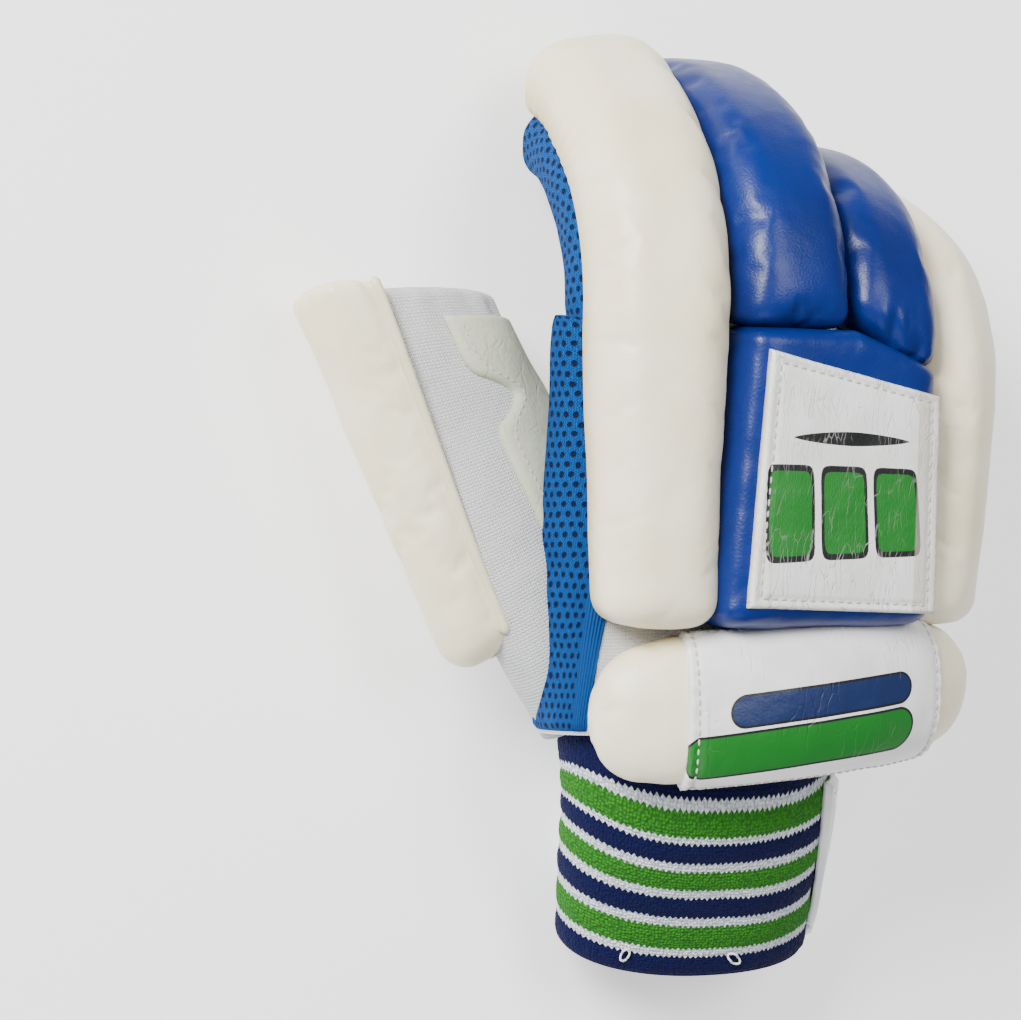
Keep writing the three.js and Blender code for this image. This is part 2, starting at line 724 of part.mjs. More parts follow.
const wristRollBody = (offset) => loft(wristRollStations.map((station) => wristRollRing(station, offset)));

// The leather band sewn round the middle of the wrist roll
function wristPanelBody() {
  const middle = wristRollX + wristPanelShift;
  const [left, right] = [middle - wristPanelLength / 2, middle + wristPanelLength / 2];
  const outline = [[left, -2 * palmLength], [right, -2 * palmLength], [right, 0], [left, 0]];
  const skin = wristRollBody(sewnGap + leatherWall).subtract(wristRollBody(sewnGap));
  return skin.intersect(prism(outline, 0, 2 * wristTop));
}

// Pieces

const glove = new THREE.Group();

function add(name, body, finish) {
  const mesh = body.getMesh();
  const geometry = new THREE.BufferGeometry();
  const position = new Float32Array(mesh.numVert * 3);
  for (let i = 0; i < mesh.numVert; i++) {
    position.set(mesh.vertProperties.subarray(i * mesh.numProp, i * mesh.numProp + 3), i * 3);
  }
  geometry.setAttribute("position", new THREE.BufferAttribute(position, 3));
  geometry.setIndex(new THREE.BufferAttribute(mesh.triVerts, 1));
  geometry.computeVertexNormals();
  const material = new THREE.MeshStandardMaterial({ metalness: 0, ...finishes[finish] });
  const piece = new THREE.Mesh(geometry, material);
  piece.name = name;
  glove.add(piece);
}

const tubes = hand.map((finger) => ({
  finger,
  outer: loft(fingerTube(finger, 0)),
  grown: loft(fingerTube(finger, sewnGap)),
  hollow: loft(fingerTube(finger, -meshWall, -2 * TUBE_START)),
}));

// The strip on the gripping side of a finger, which ends short of the tip
function stripCutter(finger, margin) {
  const half = finger.stripWidth / 2 + margin;
  const [low, high] = [-finger.thickness / 2 - 2, -finger.thickness / 2 + meshWall + 1.5];
  const end = finger.length - finger.stripWidth * 0.1;
  const stations = [-TUBE_START, 0, 0.25, 0.5, 0.75].map((t) => [t <= 0 ? t : t * end, 1]);
  stations.push([end - half * 0.5, 1], [end - half * 0.1, 0.86], [end + half * 0.35, 0.5], [end + half * 0.5, 0.2]);
  return loft(
    stations.map(([s, share]) =>
      place(fingerFrame(finger, s + (share < 1 ? margin : 0)), [
        [-half * share, low],
        [half * share, low],
        [half * share, high + margin],
        [-half * share, high + margin],
      ]),
    ),
  );
}

tubes.forEach(({ finger, outer, hollow }, i) => {
  const wall = outer.subtract(hollow).subtract(palmGrown);
  const mesh = cut(wall, stripCutter(finger, sewnGap), ...tubes.slice(0, i).map((tube) => tube.grown));
  add(finger.name + "_mesh", mesh, "blueMesh");
  const strip = biggest(wall.intersect(stripCutter(finger, 0)));
  add(finger.name + "_palm", strip, finger.leather ? "palmLeather" : "whiteKnit");
});

// The shell of the palm, with a blue mesh panel let into each side
const thumbPanel = prism(
  [
    [wristX - wristWidth, -palmLength - 1],
    [wristX - wristWidth / 2 + 6, -palmLength - 1],
    [knuckleLeft + 6, -0.3 * palmLength],
    [knuckleLeft + 3, 8],
    [wristX - wristWidth, 8],
  ],
  wristHeight - 10,
  knuckleHeight + 60,
);
const littlePanel = prism(
  [
    [knuckleRight + 20, -palmLength - 1],
    [knuckleRight + 20, -byName.little.setBack - 4],
    [knuckleRight - 5, -byName.little.setBack - 4],
    [wristX + wristWidth / 2 - 6, -palmLength - 1],
  ],
  0,
  knuckleHeight + 60,
);
const shell = palmOuter
  .subtract(palmHollow)
  .subtract(thumbHollow)
  .subtract(tubes.reduce((sum, tube) => sum.add(tube.hollow), tubes[0].hollow));
const grow = (body) => body.add(body.translate([0, sewnGap, 0])).add(body.translate([0, -sewnGap, 0]));
const widen = (body, side) =>
  grow(body.add(body.translate([side * sewnGap, 0, 0]))).add(body.translate([0, 0, -sewnGap]));
add("palm_shell", cut(shell, widen(thumbPanel, 1), widen(littlePanel, -1)), "whiteKnit");
add("thumb_side_mesh", biggest(shell.intersect(thumbPanel)), "blueMesh");
add("little_side_mesh", biggest(shell.intersect(littlePanel)), "blueMesh");

// Leather sewn over the grip of the palm, corners as shares of the palm's width and length
const gripCorners = [
  [0.1, 0.25], [0.12, 0.16], [0.34, 0.1], [0.78, 0.24], [0.93, 0.5], [0.86, 0.8], [0.66, 0.74], [0.42, 0.54],
];
const gripOutline = gripCorners.map(([across, back]) => [
  lerp(knuckleLeft, knuckleRight, across),
  -back * palmLength,
]);
const gripPatch = loft(palmRings(sewnGap + leatherWall), true)
  .subtract(palmGrown)
  .intersect(prism(gripOutline, -5, archAt(0) - knuckleThickness / 4));
add("grip_patch", biggest(gripPatch), "palmLeather");

// The thumb, its roll and its leather
const cuffGrown = loft(cuffRings(sewnGap), true);
const wristRollGrown = wristRollBody(2 * sewnGap + leatherWall);
const thumbShell = cut(thumbOuter.subtract(thumbHollow), palmGrown, cuffGrown, wristRollGrown);
add("thumb_shell", thumbShell, "whiteKnit");
const thumbRoll = cut(loft(thumbRollRings()), thumbGrown, palmGrown);
add("thumb_roll", thumbRoll, "creamLeather");
add("thumb_patch", cut(thumbPatchBody(), thumbGrown, palmGrown), "palmLeather");

// Rolls over the fingers and the back of the hand: each is shaped to the ones already there
const underRolls = [palmGrown, ...tubes.map((tube) => tube.grown), thumbGrown];
add("back_pad", cut(loft(padRings()), ...underRolls), "blueLeather");
add("back_patch", patchBody(), "whiteLeather");
const laid = [loft(padRings(rollGap))];
for (const name of ["middle", "ring", "index", "little"]) {
  const finger = byName[name];
  add(name + "_roll", cut(loft(rollRings(finger)), ...underRolls, ...laid), finger.finish);
  laid.push(loft(rollRings(finger, rollGap)));
}

add("wrist_roll", cut(wristRollBody(0), palmGrown, cuffGrown, ...laid), "creamLeather");
add("wrist_panel", cut(wristPanelBody(), palmGrown, cuffGrown, ...laid), "whiteLeather");

const cuffHollow = loft(cuffRings(-cuffWall, -3, cuffLength + 3));
add("cuff", loft(cuffRings(0)).subtract(cuffHollow), "stripedKnit");
const strapTop = (angle) => strapLift(angle) + strapWall;
add("strap", strapSheet(strapColumns, [0, STRAP_ROWS], [strapLift, strapTop], [strapWall, 0]), "strapVinyl");
const fastener = strapSheet(
  [strapColumns[1] + 1 + FASTENER_COLUMNS, strapColumns[1] + 1],
  [1, STRAP_ROWS - 1],
  [() => strapGap, () => strapGap + fastenerWall],
  [fastenerFloor + fastenerWall, fastenerFloor],
);
add("strap_fastener", cut(fastener, cuffGrown), "fastener");

// The origin is under the middle of the glove, on the surface that it rests on
const bounds = new THREE.Box3().setFromObject(glove);
const middle = bounds.getCenter(vec(0, 0, 0));
glove.children.forEach((piece) => piece.position.set(-middle.x, -middle.y, -bounds.min.z));

export default glove;
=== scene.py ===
import math
from types import SimpleNamespace

import bmesh
import bpy
import numpy as np
from mathutils import Matrix, Vector
from mathutils.bvhtree import BVHTree


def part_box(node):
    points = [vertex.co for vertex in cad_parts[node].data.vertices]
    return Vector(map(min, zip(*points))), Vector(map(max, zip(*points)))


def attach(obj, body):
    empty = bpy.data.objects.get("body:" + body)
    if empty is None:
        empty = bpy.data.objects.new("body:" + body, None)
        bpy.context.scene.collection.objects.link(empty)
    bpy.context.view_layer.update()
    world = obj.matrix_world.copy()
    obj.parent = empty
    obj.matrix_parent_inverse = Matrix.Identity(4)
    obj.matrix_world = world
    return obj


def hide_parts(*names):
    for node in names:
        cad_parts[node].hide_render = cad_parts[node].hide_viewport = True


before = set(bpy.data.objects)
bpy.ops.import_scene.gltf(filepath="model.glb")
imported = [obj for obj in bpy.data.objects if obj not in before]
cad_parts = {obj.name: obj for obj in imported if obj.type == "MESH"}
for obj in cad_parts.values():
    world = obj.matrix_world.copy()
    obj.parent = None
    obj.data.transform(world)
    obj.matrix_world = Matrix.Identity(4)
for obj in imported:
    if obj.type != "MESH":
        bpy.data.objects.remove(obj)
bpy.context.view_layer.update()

# Sizes in millimetres and angles in degrees, as in the part. +Y runs to the fingers and +X to the little finger.
KNUCKLE_HEIGHT = 66
WRIST_HEIGHT = 46.5
HAND_PITCH = 3
PALM_LENGTH = 122
KNUCKLE_THICKNESS = 30
HEEL_THICKNESS = 48
WRIST_WIDTH = 98
WRIST_THICKNESS = 46
WRIST_X = -28
PALM_SIDE_MARGIN = 2
ROLL_THICKNESS = 21
VALLEY_HEIGHT = 4
FINGERTIP_REACH = 9
PAD_BACK = 89
PAD_FLARE = 8
PATCH_WIDTH = 57
PATCH_LENGTH = 76
PATCH_FRONT = 9
CUFF_LENGTH = 73
CUFF_TOP_WIDTH = 92
CUFF_WIDTH = 86
CUFF_SHIFT = 3
CUFF_SLOPE = (14, 28)
CUFF_DRIFT = 13
STRAP_WIDTH = 58
STRAP_WALL = 2.2
CUFF_FLOOR = 4.7

FINGERS = {
    row["name"]: SimpleNamespace(**row)
    for row in [
        {"name": "index", "length": 77, "width": 29, "thickness": 24, "set_back": 3, "lean": 14, "curl_lean": 4,
         "splay": 2, "curl": 1, "tip_height": 14, "roll_width": 44, "shift": 8, "roll_back": 85, "narrow": 0.84,
         "skew": 0, "strip": 20, "square": 3.0},
        {"name": "middle", "length": 87, "width": 27, "thickness": 24, "set_back": 0, "lean": 2, "curl_lean": 1,
         "splay": 1, "curl": 0.85, "tip_height": 0, "roll_width": 37, "shift": 0, "roll_back": 0, "narrow": 1,
         "skew": 0, "strip": 18, "square": 4.6},
        {"name": "ring", "length": 75, "width": 25, "thickness": 23, "set_back": 6.5, "lean": -3, "curl_lean": -2,
         "splay": 3, "curl": 0.6, "tip_height": 0, "roll_width": 31, "shift": 0, "roll_back": 0, "narrow": 1,
         "skew": 5, "strip": 17, "square": 4.6},
        {"name": "little", "length": 73, "width": 22, "thickness": 21, "set_back": 22, "lean": -32, "curl_lean": -8,
         "splay": 4, "curl": 0.75, "tip_height": 0, "roll_width": 34, "shift": 0, "roll_back": 66, "narrow": 0.9,
         "skew": 0, "strip": 15, "square": 3.2},
    ]
}


# Curves and surfaces, in millimetres

def smooth(t):
    t = np.clip(t, 0, 1)
    return t * t * (3 - 2 * t)


def lerp(a, b, t):
    return a + (b - a) * t


def power(x, p):
    return np.sign(x) * np.abs(x) ** p


def unit(v):
    return v / np.maximum(np.linalg.norm(v, axis=-1, keepdims=True), 1e-9)


def spread(x):
    """An array of numbers, ready to multiply vectors."""
    return np.asarray(x, float)[..., None]


def place(f, across, up):
    return f.point + f.across * spread(across) + f.up * spread(up)


def lumps(points, size, seed=0):
    """Smooth noise from -1 to 1 over points, with lumps of a size."""
    p = np.asarray(points, float) / size
    cell = np.floor(p).astype(np.int64)
    t = p - cell
    t = t * t * (3 - 2 * t)
    total = 0
    for dx in (0, 1):
        for dy in (0, 1):
            for dz in (0, 1):
                h = (cell[..., 0] + dx) * 374761393 + (cell[..., 1] + dy) * 668265263
                h = (h + (cell[..., 2] + dz) * 1274126177 + seed * 144665) & 0xFFFFFFFF
                h = ((h ^ (h >> 13)) * 1103515245) & 0xFFFFFFFF
                h = (h ^ (h >> 16)) & 0xFFFF
                weight = (
                    (t[..., 0] if dx else 1 - t[..., 0])
                    * (t[..., 1] if dy else 1 - t[..., 1])
                    * (t[..., 2] if dz else 1 - t[..., 2])
                )
                total = total + weight * (h / 32767.5 - 1)
    return total


def even(outline, count, closed=True):
    """Points of an outline moved to even spacing along it."""
    points = np.vstack([outline, outline[:1]]) if closed else np.asarray(outline, float)
    run = np.concatenate([[0], np.cumsum(np.linalg.norm(np.diff(points, axis=0), axis=1))])
    at = np.linspace(0, run[-1], count, endpoint=not closed)
    return np.stack([np.interp(at, run, points[:, k]) for k in range(points.shape[1])], axis=1)


def oval(angle, half_width, half_height, squareness):
    return (
        half_width * power(np.cos(angle), 2 / squareness),
        half_height * power(np.sin(angle), 2 / squareness),
    )


def grid_normals(grid, wrap=False):
    """Unit normals of a grid of points, rows along and columns across."""
    along = np.gradient(grid, axis=0)
    if wrap:
        across = (np.roll(grid, -1, axis=1) - np.roll(grid, 1, axis=1)) / 2
    else:
        across = np.gradient(grid, axis=1)
    return unit(np.cross(across, along))


# Fingers

def root_of(f):
    names = ["index", "middle", "ring", "little"]
    side = -1 if names.index(f.name) < 2 else 1
    outer = f.name in ("index", "little")
    neighbour = FINGERS["middle" if side < 0 else "ring"]
    lean = math.radians(f.lean)
    u, w = f.thickness / 2 + VALLEY_HEIGHT, -side * f.roll_width / 2 + f.shift
    x = side * (neighbour.roll_width if outer else 0) - (-u * math.sin(lean) + w * math.cos(lean))
    seat = (neighbour if outer else f).thickness / 2 + VALLEY_HEIGHT
    z = KNUCKLE_HEIGHT + seat - (u * math.cos(lean) + w * math.sin(lean))
    return np.array([x, -f.set_back, z])


def finger_frame(f, s):
    """Where a finger's middle line is at distances s from its root, and its directions there."""
    s = np.asarray(s, float)
    splay, lean = math.radians(f.splay), math.radians(f.curl_lean)
    forward = np.array([math.sin(splay), math.cos(splay), 0])
    level = np.array([math.cos(splay), -math.sin(splay), 0])
    up = np.array([0, 0, math.cos(lean)]) - level * math.sin(lean)
    across = level * math.cos(lean) + np.array([0, 0, math.sin(lean)])

    def slope(d):
        return np.radians(lerp(-HAND_PITCH, f.curl_end, np.clip(d / (f.length * f.curl), 0, 1) ** 1.1))

    bent = np.clip(s, 0, f.length)
    steps = slope(bent[..., None] * (np.arange(20) + 0.5) / 20)
    a = slope(s)
    along = forward * spread(np.cos(a)) - up * spread(np.sin(a))
    point = f.root + forward * spread(np.cos(steps).mean(-1) * bent) - up * spread(np.sin(steps).mean(-1) * bent)
    point = point + along * spread(s - bent) + across * spread(f.tip_shift * smooth((s - 45) / 35))
    normal = up * spread(np.cos(a)) + forward * spread(np.sin(a))
    twist = math.radians(f.lean - f.curl_lean)
    return SimpleNamespace(
        point=point,
        along=along,
        up=normal * math.cos(twist) - across * math.sin(twist),
        across=across * math.cos(twist) + normal * math.sin(twist),
    )


def set_finger(f):
    """A finger's root, and the curl that sets its tip down on the surface."""
    f.root = root_of(f)
    low, high = 20.0, 135.0
    for _ in range(24):
        f.curl_end = (low + high) / 2
        end = finger_frame(f, f.length + FINGERTIP_REACH)
        half, base = f.roll_width / 2 - 3, f.thickness / 2
        corners = [place(end, side * half + f.shift, base + ROLL_THICKNESS * share)[2]
                   for side in (-1, 1) for share in (0.1, 0.5, 0.86)]
        if min(corners) > f.tip_height:
            low = f.curl_end
        else:
            high = f.curl_end


for finger in FINGERS.values():
    finger.tip_shift = 2.6 if finger.name == "index" else 0
    set_finger(finger)
INDEX, MIDDLE, RING, LITTLE = (FINGERS[name] for name in ("index", "middle", "ring", "little"))

PAD_LEFT, PAD_RIGHT = MIDDLE.roll_width - 0.35, RING.roll_width - 0.35
PAD_TOP = MIDDLE.thickness / 2 + ROLL_THICKNESS
KNUCKLE_LEFT = INDEX.root[0] - INDEX.width / 2 - PALM_SIDE_MARGIN
KNUCKLE_RIGHT = LITTLE.root[0] + LITTLE.width / 2 + PALM_SIDE_MARGIN
WRIST_TOP = WRIST_HEIGHT + WRIST_THICKNESS / 2

# The frame's origin lies under the middle of the glove
SHIFT = np.array([
    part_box("back_pad")[1].x * 1000 - PAD_RIGHT,
    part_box("palm_shell")[0].y * 1000 + PALM_LENGTH,
    0,
])


# Meshes

def metres(points):
    return (np.asarray(points, float) + SHIFT) / 1000


def build(name, points, faces, uv=None, material=None):
    """A smooth mesh object from millimetre points, with faces turned outwards when they close a body."""
    mesh = bpy.data.meshes.new(name)
    mesh.from_pydata([tuple(p) for p in metres(points)], [], [tuple(f) for f in faces])
    if uv is not None:
        layer = mesh.uv_layers.new(name="cloth")
        flat = np.array([c for corners in uv for c in corners], np.float32)
        layer.data.foreach_set("uv", flat.ravel())
    mesh.polygons.foreach_set("use_smooth", np.ones(len(mesh.polygons), bool))
    work = bmesh.new()
    work.from_mesh(mesh)
    if all(len(e.link_faces) == 2 for e in work.edges) and work.calc_volume(signed=True) < 0:
        bmesh.ops.reverse_faces(work, faces=work.faces)
    work.to_mesh(mesh)
    work.free()
    mesh.update()
    piece = bpy.data.objects.new(name, mesh)
    bpy.context.scene.collection.objects.link(piece)
    if material:
        mesh.materials.append(material)
    return piece


def grid_faces(rows, columns, wrap, start=0):
    faces = []
    for r in range(rows - 1):
        for c in range(columns if wrap else columns - 1):
            d = (c + 1) % columns
            faces.append((start + r * columns + c, start + r * columns + d,
                          start + (r + 1) * columns + d, start + (r + 1) * columns + c))
    return faces


def lengths(grid, wrap):
    """How far each point of a grid lies along the cloth: across in millimetres, and along."""
    rows, columns = grid.shape[:2]
    closed = np.concatenate([grid, grid[:, :1]], axis=1) if wrap else grid
    across = np.linalg.norm(np.diff(closed, axis=1), axis=2).mean(axis=0)
    along = np.linalg.norm(np.diff(grid, axis=0), axis=2).mean(axis=1)
    return np.concatenate([[0], np.cumsum(across)]), np.concatenate([[0], np.cumsum(along)])


def tube(name, grid, material, caps=(4, 4), cap_rows=6):
    """A closed body round rings of points. caps: how far each end bulges, or None to leave it open."""
    grid = np.asarray(grid, float)
    rings = [grid]
    for end, bulge in zip((0, -1), caps):
        if bulge is None:
            continue
        ring = grid[end]
        centre = ring.mean(axis=0)
        out = unit(centre - grid[3 if end == 0 else -4].mean(axis=0))
        extra = []
        for k in range(1, cap_rows):
            share = 1 - k / cap_rows
            extra.append(centre + (ring - centre) * share + out * bulge * (1 - share ** 2))
        extra = np.array(extra)
        rings = [extra[::-1], *rings] if end == 0 else [*rings, extra]
    full = np.concatenate(rings)
    rows, columns = full.shape[:2]
    points = list(full.reshape(-1, 3))
    faces = grid_faces(rows, columns, True)
    u, v = lengths(full, True)
    uv = [[(u[c], v[r]), (u[c + 1], v[r]), (u[c + 1], v[r + 1]), (u[c], v[r + 1])]
          for r in range(rows - 1) for c in range(columns)]
    for end, bulge in zip((0, rows - 1), caps):
        if bulge is None:
            continue
        ring = full[end]
        middle = len(points)
        points.append(ring.mean(axis=0))
        for c in range(columns):
            d = (c + 1) % columns
            pair = (end * columns + d, end * columns + c) if end == 0 else (end * columns + c, end * columns + d)
            faces.append((middle, *pair))
            uv.append([(u[c], v[end]), (u[c + 1], v[end]), (u[c], v[end])])
    return build(name, points, faces, uv, material)


def slab(name, outer, inner, material, wrap=False):
    """A sheet of some thickness between two grids, closed round its border."""
    rows, columns = outer.shape[:2]
    count = rows * columns
    points = np.concatenate([outer.reshape(-1, 3), inner.reshape(-1, 3)])
    faces = grid_faces(rows, columns, wrap)
    u, v = lengths(outer, wrap)
    wide = columns if wrap else columns - 1
    uv = [[(u[c], v[r]), (u[c + 1], v[r]), (u[c + 1], v[r + 1]), (u[c], v[r + 1])]
          for r in range(rows - 1) for c in range(wide)]
    faces += [tuple(i + count for i in reversed(f)) for f in grid_faces(rows, columns, wrap)]
    uv += [list(reversed(corners)) for corners in list(uv)]

    def side(a, b, corner):
        faces.append((b, a, a + count, b + count))
        uv.append([corner] * 4)

    for c in range(wide):
        d = (c + 1) % columns
        side(c, d, (u[c], v[0]))
        side((rows - 1) * columns + d, (rows - 1) * columns + c, (u[c], v[-1]))
    if not wrap:
        for r in range(rows - 1):
            side((r + 1) * columns, r * columns, (u[0], v[r]))
            side((r + 1) * columns - 1, (r + 2) * columns - 1, (u[-1], v[r]))
    return build(name, points, faces, uv, material)


def edge_profile(distance, radius):
    """Height share of a rounded edge at a distance from it."""
    t = np.clip(distance / radius, 0, 1)
    return np.sqrt(1 - (1 - t) ** 2)


def set_depth(piece, values):
    """Marks how far down in the seams each point of a piece is, from 0 to 1, for the leather's painted shade down
    there.
    """
    depth = np.ones(len(piece.data.vertices), np.float32)
    values = np.asarray(values, np.float32).ravel()
    depth[:len(values)] = values
    attribute = piece.data.attributes.new("depth", "FLOAT", "POINT")
    attribute.data.foreach_set("value", depth)


# How many times its size a piece is simulated, its cloth's pressure, and how much larger that cloth is cut
SWELL_SCALE, SWELL_PRESSURE, SWELL_EXTRA = 10, 6.0, 0.014
SWELL_FRAMES = 20
# Height of a piece that rests on the surface, in metres
SURFACE = 0.0001


def swell(piece, held, free):
    """Blows the leather out over its padding by a cloth simulation.
    held: which points its seams keep still. free: how far each point may move, in millimetres."""
    scene = bpy.context.scene
    rest = np.array([v.co for v in piece.data.vertices])
    model = bpy.data.objects.new("swelling", piece.data.copy())
    scene.collection.objects.link(model)
    model.data.vertices.foreach_set("co", (rest * SWELL_SCALE).ravel())
    model.vertex_groups.new(name="seam").add([int(k) for k in np.flatnonzero(held)], 1.0, "REPLACE")
    cloth = model.modifiers.new("cloth", "CLOTH")
    made = cloth.settings
    made.vertex_group_mass, made.mass, made.quality = "seam", 0.02, 5
    made.tension_stiffness, made.compression_stiffness, made.shear_stiffness, made.bending_stiffness = 15, 8, 8, 0.6
    made.use_pressure, made.uniform_pressure_force, made.shrink_min = True, SWELL_PRESSURE, -SWELL_EXTRA
    made.effector_weights.gravity = 0
    cloth.collision_settings.use_collision = False
    cloth.point_cache.frame_start, cloth.point_cache.frame_end = 1, SWELL_FRAMES
    for frame_number in range(1, SWELL_FRAMES + 1):
        scene.frame_set(frame_number)
    moved = model.evaluated_get(bpy.context.evaluated_depsgraph_get()).data
    moved = np.array([v.co for v in moved.vertices]) / SWELL_SCALE
    bpy.data.objects.remove(model)
    scene.frame_set(1)
    move = moved - rest
    size = np.maximum(np.linalg.norm(move, axis=1, keepdims=True), 1e-9)
    limit = np.reshape(free, (-1, 1)) / 1000
    rest = rest + move / size * limit * np.tanh(size / limit)
    piece.data.vertices.foreach_set("co", rest.ravel())
    piece.data.update()


def underside(piece, columns, start):
    """Which points of a tube lie on its foot, from a share of the way round it on."""
    column = np.arange(len(piece.data.vertices)) % columns / columns
    return (column > start) | (column < 0.02)


def finish_piece(piece, slot, *nodes, fill=None, level=0):
    """Sets a finished mesh down on the surface, refines it if asked, hangs it on the root body and hides the CAD
    nodes it stands in for.
    """
    points = np.array([v.co for v in piece.data.vertices])
    points[:, 2] = np.maximum(points[:, 2], SURFACE)
    piece.data.vertices.foreach_set("co", points.ravel())
    piece.data.update()
    if level:
        refine = piece.modifiers.new("refine", "SUBSURF")
        refine.levels = refine.render_levels = level
    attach(piece, "root")
    if nodes:
        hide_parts(*nodes)
    return piece


# Materials

class Value:
    """A number or colour that a material works out. Sums and products of values add Math nodes."""

    def __init__(self, tree, socket):
        self.tree, self.socket = tree, socket

    def math(self, operation, *inputs):
        node = self.tree.nodes.new("ShaderNodeMath")
        node.operation = operation
        for slot, value in zip(node.inputs, inputs):
            wire(self.tree, slot, value)
        return Value(self.tree, node.outputs[0])

    def __add__(self, other): return self.math("ADD", self, other)
    def __radd__(self, other): return self.math("ADD", other, self)
    def __sub__(self, other): return self.math("SUBTRACT", self, other)
    def __rsub__(self, other): return self.math("SUBTRACT", other, self)
    def __mul__(self, other): return self.math("MULTIPLY", self, other)
    def __rmul__(self, other): return self.math("MULTIPLY", other, self)
    def __truediv__(self, other): return self.math("DIVIDE", self, other)
    def __neg__(self): return self.math("MULTIPLY", self, -1.0)

    def sin(self): return self.math("SINE", self)
    def cos(self): return self.math("COSINE", self)
    def abs(self): return self.math("ABSOLUTE", self)
    def part(self): return self.math("FRACT", self)
    def power(self, exponent): return self.math("POWER", self, exponent)
    def least(self, other): return self.math("MINIMUM", self, other)
    def most(self, other): return self.math("MAXIMUM", self, other)

    def step(self, low, high):
        """0 below low, 1 above high, and smooth between them."""
        node = self.tree.nodes.new("ShaderNodeMapRange")
        node.interpolation_type = "SMOOTHSTEP"
        for name, value in (("Value", self), ("From Min", low), ("From Max", high), ("To Min", 0), ("To Max", 1)):
            wire(self.tree, node.inputs[name], value)
        return Value(self.tree, node.outputs[0])


def wire(tree, slot, value):
    if isinstance(value, Value):
        tree.links.new(value.socket, slot)
    elif isinstance(value, (tuple, list)) and len(value) == 3 and len(slot.default_value) == 4:
        slot.default_value = (*value, 1)
    else:
        slot.default_value = value


class Finish:
    """A material in the making. Lengths in it are in millimetres."""

    def __init__(self, name):
        self.material = bpy.data.materials.new(name)
        self.material.use_nodes = True
        self.tree = self.material.node_tree
        self.shader = next(n for n in self.tree.nodes if n.type == "BSDF_PRINCIPLED")
        self.material.diffuse_color = (0.8, 0.8, 0.8, 1)

    def node(self, kind, settings=None, sockets=None, output=0):
        node = self.tree.nodes.new(kind)
        for name, value in (settings or {}).items():
            setattr(node, name, value)
        for name, value in (sockets or {}).items():
            wire(self.tree, node.inputs[name], value)
        return Value(self.tree, node.outputs[output])

    def place(self):
        """Where a point is on the object, in millimetres."""
        where = self.node("ShaderNodeTexCoord", output="Object")
        return self.node("ShaderNodeVectorMath", {"operation": "SCALE"}, {0: where, "Scale": 1000.0})

    def cloth(self):
        """Where a point is on the cloth, across and along, in millimetres."""
        where = self.node("ShaderNodeUVMap", {"uv_map": "cloth"})
        split = self.node("ShaderNodeSeparateXYZ", sockets={0: where})
        return split, Value(self.tree, split.socket.node.outputs[1])

    def vector(self, x, y, z=0.0):
        return self.node("ShaderNodeCombineXYZ", sockets={"X": x, "Y": y, "Z": z})

    def noise(self, where, size, detail=2.0, rough=0.5, warp=0.0):
        return self.node("ShaderNodeTexNoise", sockets={
            "Vector": where, "Scale": 1 / size, "Detail": detail, "Roughness": rough, "Distortion": warp,
        })

    def cells(self, where, size, feature="F1", output="Distance", randomness=1.0):
        return self.node("ShaderNodeTexVoronoi", {"feature": feature}, {
            "Vector": where, "Scale": 1 / size, "Randomness": randomness,
        }, output=output)

    def mix(self, factor, a, b):
        node = self.tree.nodes.new("ShaderNodeMix")
        node.data_type = "RGBA"
        wire(self.tree, node.inputs[0], factor)
        wire(self.tree, node.inputs[6], a)
        wire(self.tree, node.inputs[7], b)
        return Value(self.tree, node.outputs[2])

    def bump(self, height, depth, normal=None):
        """Relief of a depth in millimetres."""
        sockets = {"Height": height, "Distance": depth / 1000, "Strength": 1.0}
        if normal is not None:
            sockets["Normal"] = normal
        return self.node("ShaderNodeBump", sockets=sockets)

    def set(self, **values):
        names = {"colour": "Base Color", "rough": "Roughness", "normal": "Normal", "coat": "Coat Weight",
                 "coat_rough": "Coat Roughness", "sheen": "Sheen Weight", "sheen_rough": "Sheen Roughness",
                 "gloss": "Specular IOR Level", "depth": "Subsurface Weight"}
        for name, value in values.items():
            wire(self.tree, self.shader.inputs[names[name]], value)
        return self.material


def leather(name, base, tint, rough, grain=0.06, pores=1.1, creases=0.0, crease_size=9, dents=0.25, coat=0.0,
            low=None, gloss=0.5):
    """Smooth coated leather: fine pores, soft dents and, where it has been bent, creases, whose lines are painted
    darker as painted shade.
    low: painted shade, the colour it darkens to down in the seams, where the piece's depth attribute nears 1."""
    f = Finish(name)
    where = f.place()
    broad = f.noise(where, 34, 3)
    fine = f.noise(where, 4, 4, 0.6)
    paint = f.mix(broad.step(0.35, 0.68), base, tint)
    paint = f.mix(fine.step(0.55, 0.8) * 0.25, paint, tuple(c * 0.93 for c in base))
    if low:
        # Painted shade: darker down in the seams, going by the depth attribute.
        depth = f.node("ShaderNodeAttribute", {"attribute_name": "depth"}, output=2)
        paint = f.mix((depth + (fine - 0.5) * 0.2).step(0.3, 1.05) * 0.75, paint, low)
    pebble = f.cells(where, pores, "SMOOTH_F1")
    normal = f.bump(f.noise(where, 16, 2), dents * 3)
    if creases:
        bend = f.node("ShaderNodeVectorMath", {"operation": "ADD"}, {0: where, 1: f.node(
            "ShaderNodeVectorMath", {"operation": "SCALE"},
            {0: f.node("ShaderNodeTexNoise", sockets={"Vector": where, "Scale": 1 / 14}, output=1), "Scale": 9.0})})
        line = f.cells(bend, crease_size, "DISTANCE_TO_EDGE")
        fold = 1 - line.step(0.0, 0.09)
        fold = fold * f.noise(where, 18, 1).step(0.42, 0.62)
        normal = f.bump(-fold, creases, normal)
        # Painted shade: the crease lines are painted darker.
        paint = f.mix(fold * 0.35, paint, tuple(c * 0.72 for c in base))
    normal = f.bump(pebble, grain, normal)
    return f.set(colour=paint, rough=rough + (fine - 0.5) * 0.16, normal=normal, coat=coat, coat_rough=0.25,
                 gloss=gloss)


